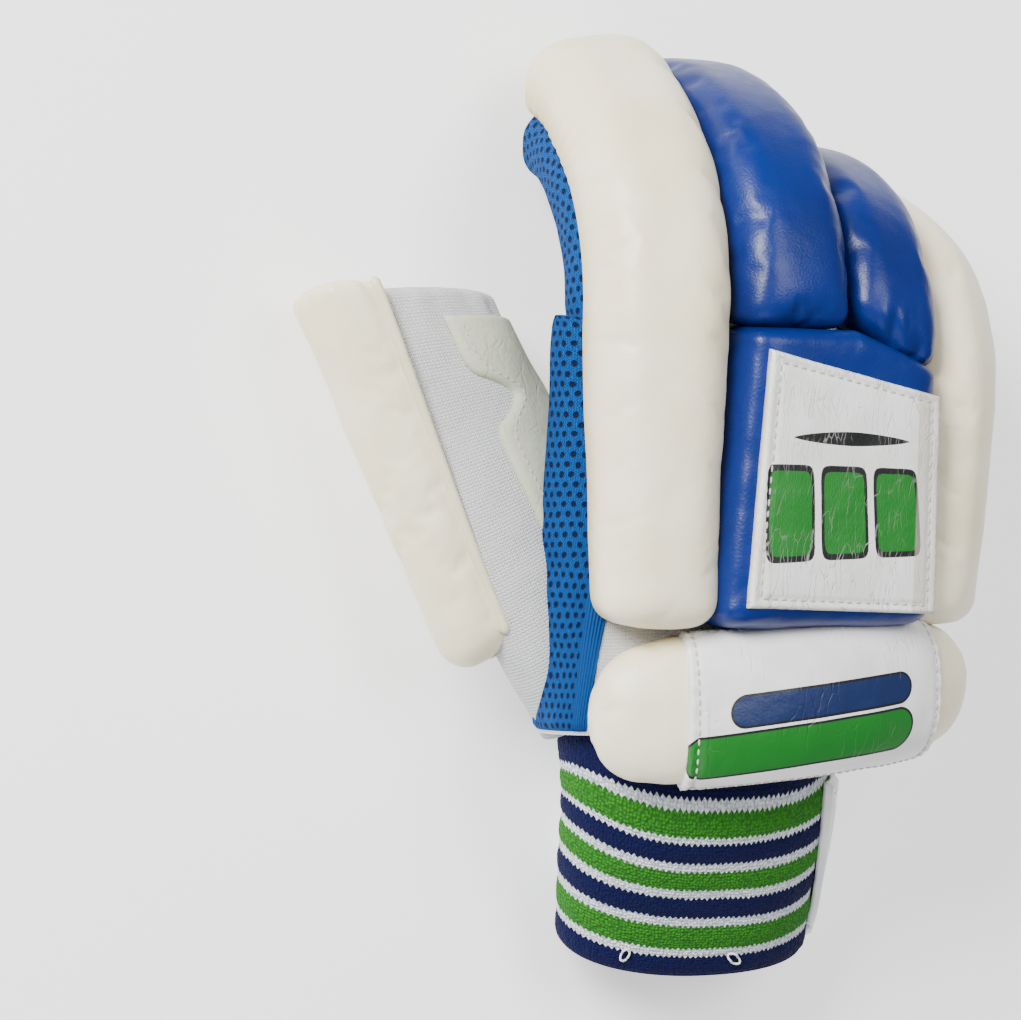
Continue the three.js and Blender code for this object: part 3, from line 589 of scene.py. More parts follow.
def knit(name, base, shade, wale=1.25, course=0.95, depth=0.28, rough=0.9):
    """Plain knit: columns of small V-shaped stitches, with painted shade between the loops."""
    f = Finish(name)
    u, v = f.cloth()
    column = (u / wale).part()
    leg = (column * 2 - 1).abs()
    rise = (v / course + leg * 0.55).part()
    loop = (1 - (rise * 2 - 1).abs()).power(0.7) * (1 - leg.power(5.0)) * (0.25 + leg.step(0.0, 0.3) * 0.75)
    where = f.place()
    fuzz = f.noise(where, 0.7, 3, 0.7)
    # Painted shade between the loops; the next line mixes the same darker colour in broad random patches.
    paint = f.mix(loop, shade, base)
    paint = f.mix(f.noise(where, 30, 2).step(0.4, 0.7) * 0.3, paint, shade)
    normal = f.bump(f.noise(where, 9, 2), 0.8)
    normal = f.bump(loop + fuzz * 0.4, depth, normal)
    return f.set(colour=paint, rough=rough, normal=normal, sheen=0.25, sheen_rough=0.5)


def eyelets(name, base, hole_shade, across=3.3, along=3.0, hole=0.25, solid=None):
    """Openwork knit: rows of small holes painted near black as painted shade, with round yarn between them shaded by
    painted light and shade.
    solid: what turns the holes off, given the cloth's u and v, as towards a finger's strip."""
    f = Finish(name)
    u, v = f.cloth()
    where = f.place()
    x, y = u / across + (f.noise(where, 6, 1) - 0.5) * 0.5, v / along + (f.noise(where, 7, 1) - 0.5) * 0.5
    row = (y - y.part()) * 0.5
    cx = (x + row).part() - 0.5
    cy = y.part() - 0.5
    reach = (cx * cx + cy * cy * 0.7).power(0.5)
    open_ = (1 - reach.step(hole - 0.09, hole + 0.07))
    if solid:
        open_ = open_ * (1 - solid(u, v))
    strand = ((u / 0.75) * 2 * math.pi + (v / 1.1 * 2 * math.pi).sin() * 1.2).cos() * 0.5 + 0.5
    twist = ((v / 0.85 + u / 1.5) * 2 * math.pi).cos() * 0.5 + 0.5
    fuzz = f.noise(where, 0.8, 3, 0.7)
    light = (strand * 0.55 + twist * 0.25 + fuzz * 0.35).least(1.0)
    # Painted light and shade on the round yarn: darker in its grooves, with a painted highlight on the fuzz.
    lit = f.mix(light, tuple(c * 0.3 for c in base), base)
    lit = f.mix(fuzz.step(0.55, 0.8) * 0.3, lit, tuple(min(1.0, c * 2.6 + 0.02) for c in base))
    # Painted shade: the holes are painted near black.
    paint = f.mix(open_, lit, hole_shade)
    height = strand * 0.5 + twist * 0.25 + fuzz * 0.3 - open_ * 1.6
    normal = f.bump(f.noise(where, 8, 2), 0.8)
    normal = f.bump(height, 0.6, normal)
    return f.set(colour=paint, rough=0.85, normal=normal, gloss=0.15)


def ribs(name, base, shade, pitch=1.5):
    """Ribbed knit, its ribs along the cloth's rows, with painted shade between the ribs."""
    f = Finish(name)
    u, v = f.cloth()
    where = f.place()
    ridge = ((u / pitch) * 2 * math.pi).cos() * 0.5 + 0.5
    twist = ((v / 0.8 + (u / pitch).part() * 0.7) * 2 * math.pi).cos() * 0.5 + 0.5
    fuzz = f.noise(where, 0.7, 3, 0.7)
    # Painted shade in the grooves between the ribs and stitches.
    paint = f.mix(ridge * 0.6 + twist * 0.25 + fuzz * 0.3, shade, base)
    normal = f.bump(ridge + twist * 0.4 + fuzz * 0.35, 0.6)
    return f.set(colour=paint, rough=0.9, normal=normal, gloss=0.15)


def plain(name, base, rough=0.6, grain=0.05, coat=0.0):
    f = Finish(name)
    where = f.place()
    fine = f.noise(where, 0.6, 3, 0.6)
    paint = f.mix(fine * 0.5, base, tuple(c * 0.8 for c in base))
    return f.set(colour=paint, rough=rough, normal=f.bump(fine, grain), coat=coat, coat_rough=0.2)


CREAM = (0.86, 0.79, 0.59)
CREAM_WARM = (0.82, 0.73, 0.49)
# Painted shade for the cream leather down in its seams.
CREAM_PAINTED_SHADE = (0.52, 0.40, 0.17)
BLUE = (0.0, 0.014, 0.135)
BLUE_DEEP = (0.0, 0.0095, 0.10)
# Painted shade for the blue leather down in its seams.
BLUE_PAINTED_SHADE = (0.0001, 0.004, 0.045)
WHITE = (0.80, 0.80, 0.79)
KNIT_WHITE = (0.84, 0.84, 0.83)
MESH_BLUE = (0.002, 0.085, 0.36)
NAVY = (0.001, 0.002, 0.05)
GREEN = (0.028, 0.2, 0.009)
PRINT_GREEN = (0.002, 0.14, 0.009)
PRINT_BLUE = (0.0003, 0.011, 0.07)
PRINT_BLACK = (0.0025, 0.003, 0.0035)

cream_leather = leather("cream_leather", CREAM, CREAM_WARM, 0.42, coat=0.08, low=CREAM_PAINTED_SHADE)
blue_leather = leather("blue_leather", BLUE, BLUE_DEEP, 0.36, grain=0.05, pores=0.7, dents=0.14, coat=0.0,
                       low=BLUE_PAINTED_SHADE, gloss=0.32)
piping_leather = leather("piping_leather", (0.74, 0.68, 0.50), (0.66, 0.60, 0.42), 0.45)
palm_leather = leather("palm_leather", (0.50, 0.52, 0.40), (0.42, 0.44, 0.33), 0.66, grain=0.12,
                       creases=0.13, crease_size=7)
white_knit = knit("white_knit", KNIT_WHITE, (0.48, 0.49, 0.51), depth=0.4)
mesh_knit = eyelets("mesh_knit", MESH_BLUE, (0.002, 0.009, 0.035))
mesh_rib = ribs("mesh_rib", MESH_BLUE, (0.003, 0.03, 0.12))
white_thread = plain("white_thread", (0.80, 0.80, 0.78), 0.7)
# Thread painted darker than the white thread it is, as painted shade in its holes and grooves.
patch_thread = plain("patch_thread", (0.52, 0.49, 0.42), 0.7)
fastener_felt = plain("fastener_felt", (0.7, 0.7, 0.69), 0.95, 0.3)


def patch_leather():
    """White patch leather with fine cracks, and a plain print of three green blocks and a black bar."""
    f = Finish("patch_leather")
    u, v = f.cloth()
    where = f.place()
    ends = ((v - PATCH_LENGTH / 2).abs() / (PATCH_LENGTH / 2)).power(2.0)
    bend = f.vector(u + f.noise(where, 8, 3) * 5, v * 0.16 + f.noise(where, 9, 2) * 3)
    line = f.cells(bend, 2.3, "DISTANCE_TO_EDGE")
    crack = (1 - line.step(0.0, 0.045)) * f.noise(where, 8, 2).step(0.4, 0.6) * (0.25 + ends * 0.75)
    paint = f.mix(f.noise(where, 20, 3).step(0.35, 0.7), WHITE, (0.70, 0.69, 0.65))
    x, y = u - PATCH_WIDTH / 2, PATCH_LENGTH - v
    x = x - (y - 40) * 0.1 - 1.5
    blocks, rims = 0.0, 0.0
    for centre in (-19.0, 0.0, 19.0):
        px, py = (x - centre).abs(), (y - 46 + x * 0.11).abs()
        reach = ((px / 8.3).power(8.0) + (py / 13.5).power(8.0)).power(1 / 8)
        blocks = blocks + (1 - reach.step(0.87, 0.885))
        rims = rims + (1 - reach.step(1.0, 1.02))
    bar = ((x - 3.5).abs() / 22).power(1.6) + ((y - 24.5 + x * 0.13).abs() / 2.1).power(1.4)
    worn = 1 - crack * 0.6
    paint = f.mix(rims.least(1.0) * worn, paint, PRINT_BLACK)
    paint = f.mix(blocks.least(1.0) * worn, paint, PRINT_GREEN)
    paint = f.mix((1 - bar.step(0.93, 1.0)) * worn, paint, PRINT_BLACK)
    paint = f.mix(crack * 0.55, paint, (0.36, 0.33, 0.27))
    # The border is painted darker brown: partly the colour of the cut edge, partly painted shadow along the edge.
    rim = (u.least(PATCH_WIDTH - u)).least(v.least(PATCH_LENGTH - v))
    paint = f.mix((1 - rim.step(0.0, 0.9)) * 0.5, paint, (0.42, 0.38, 0.30))
    normal = f.bump(f.noise(where, 13, 2), 0.6)
    normal = f.bump(-crack, 0.25, normal)
    normal = f.bump(f.noise(f.vector(u * 3, v * 0.7), 1.3, 3), 0.16, normal)
    return f.set(colour=paint, rough=0.45 + crack * 0.2, normal=normal, coat=0.06, coat_rough=0.3)


# Pills of the wrist panel: middle across and along the roll, half length and half height
PILLS = [(33.5, 44.5, 31.5, 4.9, PRINT_BLUE), (20.5, 38.0, 39.5, 6.8, PRINT_GREEN)]


def panel_leather():
    """White leather band with two plain printed pills."""
    f = Finish("panel_leather")
    u, v = f.cloth()
    where = f.place()
    paint = f.mix(f.noise(where, 22, 3).step(0.4, 0.7), WHITE, (0.72, 0.72, 0.71))
    crease = 1 - f.cells(f.vector(u * 0.3 + f.noise(where, 10, 2) * 6, v), 4, "DISTANCE_TO_EDGE").step(0.0, 0.05)
    crease = crease * f.noise(where, 12, 2).step(0.5, 0.68)
    for middle_u, middle_v, half_v, half_u, tint in PILLS:
        lean = (v - middle_v) * 0.045
        dv = ((v - middle_v).abs() - (half_v - half_u)).most(0.0)
        du = u - middle_u - lean
        reach = (du * du + dv * dv).power(0.5)
        paint = f.mix(1 - reach.step(half_u, half_u + 0.15), paint, PRINT_BLACK)
        paint = f.mix(1 - reach.step(half_u - 0.75, half_u - 0.6), paint, tint)
    normal = f.bump(f.noise(where, 12, 2), 0.6)
    normal = f.bump(-crease, 0.15, normal)
    normal = f.bump(f.cells(where, 0.8, "SMOOTH_F1"), 0.05, normal)
    return f.set(colour=paint, rough=0.4, normal=normal, coat=0.08, coat_rough=0.25)


patch_white = patch_leather()
panel_white = panel_leather()

STRIPES = [("navy", 15.6), ("white", 2.5), ("green", 6.8), ("white", 1.9), ("navy", 5.9), ("white", 2.8),
           ("green", 6.5), ("white", 3.1), ("navy", 7.1), ("white", 3.1), ("green", 8.1), ("white", 2.8),
           ("navy", 6.8)]
STRIPE_RISE = 7


def striped_knit():
    """The cuff's knit: coloured bands with white ones between, each yarn's edge in small teeth."""
    f = Finish("striped_knit")
    u, v = f.cloth()
    where = f.place()
    teeth = ((u / 1.9).part() * 2 - 1).abs()
    row = v + teeth * 1.0 + (f.noise(where, 2.2, 2) - 0.5) * 0.9
    tints = {"navy": NAVY, "white": (0.78, 0.82, 0.88), "green": GREEN}
    paint, edge = tints["navy"], 0.0
    for (name, width), (following, _) in zip(STRIPES, STRIPES[1:]):
        edge += width
        paint = f.mix(row.step(edge - 0.12, edge + 0.12), paint, tints[following])
    knots = f.cells(f.vector(u / 1.15, v), 0.95, randomness=0.55)
    fuzz = f.noise(where, 0.6, 3, 0.7)
    # Painted shade round each knot and in the fuzz: the stripes' colours darken towards near black there.
    shade = (knots.step(0.3, 0.75) * 0.6 + (1 - fuzz).step(0.4, 0.7) * 0.2).least(0.75)
    paint = f.mix(shade, paint, f.mix(0.8, paint, (0.0, 0.002, 0.012)))
    paint = f.mix(fuzz.step(0.65, 0.9) * 0.1, paint, (0.4, 0.5, 0.45))
    normal = f.bump((1 - knots.step(0.0, 0.8)) + fuzz * 0.2, 0.55)
    return f.set(colour=paint, rough=0.92, normal=normal, gloss=0.2)


striped = striped_knit()


def strap_vinyl():
    f = Finish("strap_vinyl")
    where = f.place()
    paint = f.mix(f.noise(where, 25, 3).step(0.4, 0.7), (0.80, 0.81, 0.82), (0.70, 0.72, 0.73))
    normal = f.bump(f.noise(where, 14, 2), 0.6)
    normal = f.bump(f.cells(where, 0.8, "SMOOTH_F1"), 0.09, normal)
    return f.set(colour=paint, rough=0.36, normal=normal, coat=0.2, coat_rough=0.2)


strap_white = strap_vinyl()


# Padded rolls over the fingers

def loaf(half, bottom, base, top, squareness, count=84):
    """A flat-bottomed outline with round shoulders, its points evenly spaced."""
    a = np.linspace(0, math.pi, 90)
    arc = np.stack([half * power(np.cos(a), 2 / squareness),
                    base + (top - base) * power(np.sin(a), 2 / squareness)], axis=1)
    tuck = min(3.0, half / 3)
    foot = [[-half, bottom + tuck], [-half + tuck, bottom], [half - tuck, bottom], [half, bottom + tuck]]
    return even(np.vstack([arc, foot]), count)


def inset(radius, distance):
    d = np.clip(distance, 0, radius)
    return radius - math.sqrt(radius ** 2 - (radius - d) ** 2)


def rounded_rows(low, high, back, front, count, back_count=8, front_count=6):
    """Places along a body, closer together where its two ends are rounded."""
    return np.concatenate([
        low + back * np.linspace(0, 1, back_count)[:-1] ** 1.6,
        np.linspace(low + back, high - front, count),
        high - front * np.linspace(1, 0, front_count)[1:] ** 1.6,
    ])


def pushed(grid, push, ease):
    """A grid of rings pushed out along its normals, less so over the first and last few rings."""
    row = np.arange(len(grid))
    edge = np.minimum(row, row[::-1])[:, None]
    return grid + grid_normals(grid, True) * spread(push * np.clip(edge / ease, 0, 1))


def roll_grid(f, spacing=1.75, back_radius=8, tip_radius=11, lift=0.0):
    low, high = -f.roll_back, f.length + FINGERTIP_REACH
    rows = rounded_rows(low, high, back_radius, tip_radius, int((high - low) / spacing), front_count=9)
    grid = []
    for s in rows:
        taper = lerp(1, f.narrow, float(np.clip(-s / (f.roll_back or 1), 0, 1)))
        half = (f.roll_width * taper - 0.7) / 2
        shift = f.shift - np.sign(f.root[0]) * f.roll_width * (1 - taper) / 2
        slant = f.skew * float(np.clip(1 - s / f.length, 0, 1))
        gone = max(inset(back_radius, s - low), inset(tip_radius, high - s))
        section = loaf(half - gone, f.thickness / 2 - 2.5, f.thickness / 2 + VALLEY_HEIGHT / 2,
                       f.thickness / 2 + ROLL_THICKNESS - gone + lift, f.square)
        ring = place(finger_frame(f, s - slant * section[:, 0] / half), section[:, 0] + shift, section[:, 1])
        grid.append(ring)
    return rows, np.array(grid)


def crease_rolls(f, rows, grid, seed, creases=0.0, gather=None, tucks=0.0):
    """Soft dents all over, cross creases where a finger bends, gathers along one tip edge and pinched
    tucks at the seam to the back pad."""
    push = 0.45 * lumps(grid, 24, seed) + 0.2 * lumps(grid, 9, seed + 1)
    s = rows[:, None] + 3.5 * lumps(grid, 18, seed + 2)
    if creases:
        wave = np.abs(np.sin(s / 6.3 * math.pi)) ** 0.5 - 0.7
        where = smooth((rows[:, None] + 4) / 20) * smooth((f.length - rows[:, None]) / 25 + 0.3)
        push = push + creases * wave * where * smooth(lumps(grid, 15, seed + 3) * 0.8 + 0.6)
    if gather:
        column = np.arange(grid.shape[1])[None, :] / grid.shape[1]
        near = np.exp(-(((column - gather[0]) / 0.09) ** 2)) * smooth((rows[:, None] - gather[1]) / 15)
        near = near * smooth((gather[2] - rows[:, None]) / 10)
        push = push + gather[3] * near * np.sin(s * 2 * math.pi / 4.4)
    if tucks:
        column = np.arange(grid.shape[1])[None, :] + 0 * s
        fold = np.sin(column * 2 * math.pi / 7 + 2 * lumps(grid, 9, seed + 4)) - 0.4
        push = push + tucks * 0.5 * fold * smooth((14 - rows[:, None]) / 14) * smooth(lumps(grid, 16, seed + 5) + 0.7)
    return pushed(grid, push, 6)


def roll(f, material, seed, **look):
    rows, grid = roll_grid(f, back_radius=8 if f.roll_back else 4)
    grid = crease_rolls(f, rows, grid, seed, **look)
    piece = tube(f.name + "_roll_leather", grid, material, (1.5 if f.roll_back else 0.3, 2.5))
    points = np.array([v.co for v in piece.data.vertices]) * 1000 - SHIFT
    nearest = np.argmin(((points[:, None] - finger_frame(f, rows).point[None]) ** 2).sum(-1), axis=1)
    at = finger_frame(f, rows[nearest])
    height = ((points - at.point) * at.up).sum(-1) - f.thickness / 2
    depth = np.clip(1 - height / ROLL_THICKNESS, 0, 1)
    set_depth(piece, depth ** 1.3)
    swell(piece, depth > 0.86, 0.35 + 1.2 * smooth((0.7 - depth) / 0.5))
    return piece


rolls = {
    "index": roll(INDEX, cream_leather, 3, gather=(0.56, 34, 95, 1.0)),
    "middle": roll(MIDDLE, blue_leather, 5, creases=0.22, tucks=0.9),
    "ring": roll(RING, blue_leather, 7, creases=0.22, tucks=0.9),
    "little": roll(LITTLE, cream_leather, 9),
}
for name, piece in rolls.items():
    finish_piece(piece, "blue_leather" if name in ("middle", "ring") else "cream_leather",
                 name + "_roll", fill=0.8, level=1)


# Finger stalls

def stall_grid(f, offset=0.0, columns=72, start=-14):
    rows = np.concatenate([np.linspace(start, f.length, 66), f.length + FINGERTIP_REACH * np.sin(
        np.linspace(0, math.pi / 2, 12)[1:])])
    grid = []
    for s in rows:
        past = max(0, (s - f.length) / FINGERTIP_REACH)
        share = math.sqrt(max(1 - past ** 2 * 0.96, 0))
        a = np.linspace(0, 2 * math.pi, columns, endpoint=False)
        across, up = oval(a, (f.width / 2 + offset) * share, (f.thickness / 2 + offset) * share, 2.4)
        grid.append(place(finger_frame(f, s), across, up))
    return rows, np.array(grid)


for f in FINGERS.values():
    rows, grid = stall_grid(f, -0.2)
    push = 0.5 * lumps(grid, 11, 21) + 0.25 * lumps(grid, 5, 22)
    grid = grid + grid_normals(grid, True) * spread(push)
    piece = tube(f.name + "_stall_mesh", grid, mesh_knit, (0.5, 0.5), cap_rows=3)
    finish_piece(piece, "blue_mesh", f.name + "_mesh")


def strip_piece(f, material, slot, bulge):
    """The strip on the gripping side of a finger, laid over the mesh."""
    end = f.length - 1
    rows = np.linspace(-10, end + f.strip / 4, 80)
    share = np.linspace(-1, 1, 41)
    outer, inner = [], []
    for s in rows:
        near_end = np.clip((rows[-1] - s) / (f.strip / 2), 0, 1)
        half = f.strip / 2 * math.sqrt(1 - (1 - near_end) ** 2 + 1e-4)
        x = share * half
        t = np.clip(np.abs(x) / (f.width / 2), 0, 0.98)
        down = -(f.thickness / 2) * (1 - t ** 2.4) ** (1 / 2.4)
        height = bulge * edge_profile(half - np.abs(x), 2.2) + 0.1
        frames = finger_frame(f, np.full_like(x, s))
        outer.append(place(frames, x, down - height))
        inner.append(place(frames, x, down + 0.5))
    outer, inner = np.array(outer), np.array(inner)
    folds = np.sin((rows[:, None] + 3 * lumps(outer, 12, 31)) * 2 * math.pi / 11) * 0.5
    folds = folds * smooth((rows[:, None] - 5) / 25) * edge_profile(1 - np.abs(share)[None, :], 0.5)
    outer = outer - finger_frame(f, rows[:, None] + 0 * share).up * spread(folds * 0.8 + 0.3 * lumps(outer, 8, 32))
    piece = slab(f.name + "_strip", outer, inner, material)
    return finish_piece(piece, slot, f.name + "_palm")


strip_piece(INDEX, palm_leather, "palm_leather", 1.2)
for f in (MIDDLE, RING, LITTLE):
    strip_piece(f, white_knit, "white_knit", 1.0)


# Palm

def across_knuckles(x, values):
    total = 0
    hand = list(FINGERS.values())
    for a, value in zip(hand, values):
        weight = 1
        for b in hand:
            if a is not b:
                weight = weight * (x - b.root[0]) / (a.root[0] - b.root[0])
        total = total + weight * value
    return total


PALM_TABLE = {
    "along": [0, 0.14, 0.34, 0.58, 0.8, 1],
    "wide": [0, 0.12, 0.42, 0.78, 0.97, 1],
    "thick": [0, 0.1, 0.25, 0.5, 0.8, 1],
    "heel": [0, 0.5, 1, 0.85, 0.4, 0],
}


def eased(t, along, values):
    """Values of a table, with the corners between its rows smoothed."""
    dense = np.linspace(0, 1, 201)
    line = np.interp(dense, along, values)
    kernel = np.hanning(31)
    line = np.convolve(np.pad(line, 15, "edge"), kernel / kernel.sum(), "valid")
    line += np.interp(dense, [0, 1], [values[0] - line[0], values[-1] - line[-1]])
    return np.interp(t, dense, line)


def palm_point(t, angle, offset=0.0, forward=0.0, share=1.0):
    """A point of the palm's outside at a share t of its length and an angle round it."""
    wide, thick, heel = (eased(np.clip(t, 0, 1), PALM_TABLE["along"], PALM_TABLE[column])
                         for column in ("wide", "thick", "heel"))
    left = lerp(WRIST_X - WRIST_WIDTH / 2, KNUCKLE_LEFT, wide)
    right = lerp(WRIST_X + WRIST_WIDTH / 2, KNUCKLE_RIGHT, wide)
    thickness = lerp(WRIST_THICKNESS, KNUCKLE_THICKNESS, thick) + (HEEL_THICKNESS - WRIST_THICKNESS) * heel
    across, up = oval(angle, 1, 1, 2.5)
    x = (left + right) / 2 + ((right - left) / 2 + offset) * across
    knuckle_x = lerp(KNUCKLE_LEFT, KNUCKLE_RIGHT, (across + 1) / 2)
    arch = across_knuckles(knuckle_x, [f.root[2] for f in FINGERS.values()])
    web = across_knuckles(knuckle_x, [f.root[1] for f in FINGERS.values()])
    top = lerp(WRIST_TOP, arch + KNUCKLE_THICKNESS / 2, smooth(t))
    y = lerp(-PALM_LENGTH, web, np.clip(t, 0, 1)) + forward
    return np.stack([x, y, top - thickness / 2 + (thickness / 2 + offset) * share * up], axis=-1)


def palm_grid():
    a = np.linspace(0, 2 * math.pi, 128, endpoint=False)
    rings = [palm_point(np.full_like(a, t), a) for t in np.linspace(0, 1, 90)]
    for out, share in ((1.4, 0.97), (2.6, 0.86), (3.5, 0.7), (4, 0.5), (4.2, 0.25)):
        rings.append(palm_point(np.ones_like(a), a, forward=out, share=share))
    return np.array(rings)


grid = palm_grid()
push = 0.9 * lumps(grid, 26, 41) + 0.35 * lumps(grid, 10, 42)
inside = smooth(np.minimum(np.arange(len(grid)), 30) / 30)[:, None]
inside = inside * smooth((np.abs(np.sin(np.linspace(0, 2 * math.pi, grid.shape[1], endpoint=False))) - 0.9) / 0.1)
grid = grid + grid_normals(grid, True) * spread(push * inside)
palm = tube("palm_knit", grid, white_knit, (None, 0), cap_rows=3)
finish_piece(palm, "white_knit", "palm_shell")


# How the palm's rim rounds off past the knuckles: forward of them, and its share of the thickness
NOSE = [(0, 1), (1.5, 0.98), (2.8, 0.88), (3.9, 0.73), (4.6, 0.54), (4.9, 0.3)]


def palm_panel(name, node, angles, t_range, rib_edges, offset=0.5, nose=0.0):
    """An openwork panel over one side of the palm. angles: low and high edge at the wrist and at the fingers."""
    past = NOSE if nose else [(0, 1)]
    t = np.concatenate([np.linspace(*t_range, 90), np.full(len(past) - 1, t_range[1])])[:, None]
    forward, shrink = (np.concatenate([np.full(90, first), [row[k] for row in past[1:]]])[:, None]
                       for k, first in ((0, 0.0), (1, 1.0)))
    share = np.linspace(0, 1, 44)[None, :]
    low = lerp(angles[0][0], angles[0][1], t)
    high = lerp(angles[1][0], angles[1][1], t)
    a = np.radians(lerp(low, high, share))
    rim = np.minimum(share, 1 - share) * 40
    puff = offset + 0.7 * edge_profile(rim, 2.5) + nose * smooth((t - 0.8) / 0.2)
    outer = palm_point(t + 0 * a, a, puff, forward, shrink)
    outer = outer + grid_normals(outer) * spread(0.4 * lumps(outer, 9, 51))
    ends = edge_profile(np.minimum(t - t[0], 1 if nose else t[-1] - t) * PALM_LENGTH, 4)
    outer = lerp(palm_point(t + 0 * a, a, 0.15, forward, shrink), outer, spread(0.15 + 0.85 * ends + 0 * share))
    inner = palm_point(t + 0 * a, a, -0.6, forward - 0.4, shrink * 0.97)
    piece = slab(name, outer, inner, mesh_knit)
    finish_piece(piece, "blue_mesh", node)
    for k, edge in enumerate(rib_edges):
        inward = np.linspace(0, 1, 9)[None, :] * 0.16
        band_share = edge + (inward if edge < 0.5 else -inward)
        ab = np.radians(lerp(low, high, band_share))
        rise = (offset + 1.0 + 0.5 * np.sin(np.linspace(0, 1, 9)[None, :] * math.pi)) * (0.3 + 0.7 * ends)
        top = palm_point(t + 0 * ab, ab, rise, forward, shrink)
        base = palm_point(t + 0 * ab, ab, 0.2, forward, shrink)
        finish_piece(slab(f"{name}_rib_{k}", top, base, mesh_rib), "blue_mesh")
    return piece


palm_panel("thumb_side_openwork", "thumb_side_mesh", ((150, 116), (204, 216)), (0.01, 1.0), (0.0, 1.0), nose=0.6)
palm_panel("little_side_openwork", "little_side_mesh", ((-62, -48), (58, 40)), (0.02, 0.86), (0.0, 1.0))


def drape(outline, surface, direction, thickness, name, material, rings=26, count=160, radius=1.6):
    """A sheet cut to an outline of (x, y) points and laid on a surface along a direction."""
    rim = even(np.array(outline, float), count)
    for _ in range(10):
        rim = (np.roll(rim, 1, axis=0) + 2 * rim + np.roll(rim, -1, axis=0)) / 4
    centre = rim.mean(axis=0)
    shares = np.linspace(0, 1, rings) ** 0.8
    flat = centre + (rim[None] - centre) * shares[::-1][:, None, None]
    reach = np.linalg.norm(rim - centre, axis=1)[None, :] * (1 - shares[::-1])[:, None]
    base = np.empty((rings, count, 3))
    normal = np.empty_like(base)
    for r in range(rings):
        for c in range(count):
            start = metres([flat[r, c, 0], flat[r, c, 1], 200 if direction < 0 else -200])
            hit, n, _, _ = surface.ray_cast(Vector(start), Vector((0, 0, direction)))
            if hit is None:
                hit, n, _, _ = surface.find_nearest(Vector((start[0], start[1], KNUCKLE_HEIGHT / 2000)))
            base[r, c] = np.array(hit) * 1000 - SHIFT
            normal[r, c] = n if n.z * direction < 0 else -n
    lift = thickness * edge_profile(reach, radius)
    outer = base + normal * spread(lift)
    inner = base - normal * 0.3
    closed = np.concatenate([outer[::-1], inner])
    return tube(name, closed, material, (0, 0), cap_rows=2)


def surface_of(*pieces):
    """A tree of the pieces' faces, for laying other things on them."""
    work = bmesh.new()
    for piece in pieces:
        work.from_mesh(piece.data)
    tree = BVHTree.FromBMesh(work)
    work.free()
    return tree


palm_tree = surface_of(palm)
GRIP = [(0.1, 0.25), (0.12, 0.16), (0.34, 0.1), (0.78, 0.24), (0.93, 0.5), (0.86, 0.8), (0.66, 0.74), (0.42, 0.54)]
grip_outline = [(lerp(KNUCKLE_LEFT, KNUCKLE_RIGHT, a), -b * PALM_LENGTH) for a, b in GRIP]
grip = drape(grip_outline, palm_tree, 1, 1.7, "grip_leather", palm_leather)
finish_piece(grip, "palm_leather", "grip_patch")


# Thumb

THUMB_POINTS = np.array([[-49, -108, 37], [-80, -62, 35], [-107, 5, 22]], float)
THUMB_WIDTH = 28
THUMB_DEPTHS = (58, 45)
THUMB_REACH = 5
THUMB_SLANT = 8
THUMB_LEAN = math.radians(85)
THUMB_ROLL_START = 0.22
_t = np.linspace(0, 1, 400)[:, None]
_curve = (1 - _t) ** 2 * THUMB_POINTS[0] + 2 * _t * (1 - _t) * THUMB_POINTS[1] + _t ** 2 * THUMB_POINTS[2]
_run = np.concatenate([[0], np.cumsum(np.linalg.norm(np.diff(_curve, axis=0), axis=1))])
THUMB_LENGTH = _run[-1]
_tangent = unit(np.gradient(_curve, axis=0))


def thumb_place(s, across, up):
    s = np.asarray(s, float)
    at = np.clip(s, 0, THUMB_LENGTH)
    point = np.stack([np.interp(at, _run, _curve[:, k]) for k in range(3)], axis=-1)
    along = unit(np.stack([np.interp(at, _run, _tangent[:, k]) for k in range(3)], axis=-1))
    point = point + along * spread(s - at)
    dorsal = np.array([-math.sin(THUMB_LEAN), 0, math.cos(THUMB_LEAN)])
    rise = unit(dorsal - along * spread((along * dorsal).sum(-1)))
    side = np.cross(along, rise)
    slant = THUMB_SLANT * np.clip(s / THUMB_LENGTH, 0, 1) ** 2 / (THUMB_DEPTHS[1] / 2)
    return point + side * spread(across) + rise * spread(up) + along * spread(slant * up)


def thumb_depth(s):
    return lerp(*THUMB_DEPTHS, smooth(np.asarray(s) / THUMB_LENGTH))


def thumb_grid(offset=0.0, columns=96):
    rows = np.concatenate([np.linspace(0, THUMB_LENGTH, 90), THUMB_LENGTH + THUMB_REACH * np.sin(
        np.linspace(0, math.pi / 2, 9)[1:])])
    grid = []
    a = np.linspace(0, 2 * math.pi, columns, endpoint=False)
    for s in rows:
        past = max(0, (s - THUMB_LENGTH) / THUMB_REACH)
        share = math.sqrt(max(1 - past ** 2 * 0.9, 0))
        across, up = oval(a, (THUMB_WIDTH / 2 + offset) * share,
                          (thumb_depth(s) / 2 + offset) * lerp(1, share, 0.5), 2.4)
        grid.append(thumb_place(np.full_like(a, s), across, up))
    return rows, np.array(grid)


rows, grid = thumb_grid()
s = rows[:, None]
column = np.linspace(0, 2 * math.pi, grid.shape[1], endpoint=False)[None, :]
pleats = np.sin(column * 15 + 1.8 * lumps(grid, 14, 61)) * 0.5 * smooth((s - THUMB_LENGTH + 26) / 30)
push = 0.9 * lumps(grid, 20, 62) + 0.4 * lumps(grid, 9, 63) + pleats
push = push * smooth((THUMB_LENGTH + THUMB_REACH - s) / 6)
grid = grid + grid_normals(grid, True) * spread(push)
thumb = tube("thumb_knit", grid, white_knit, (0, 0.5), cap_rows=3)
finish_piece(thumb, "white_knit", "thumb_shell")


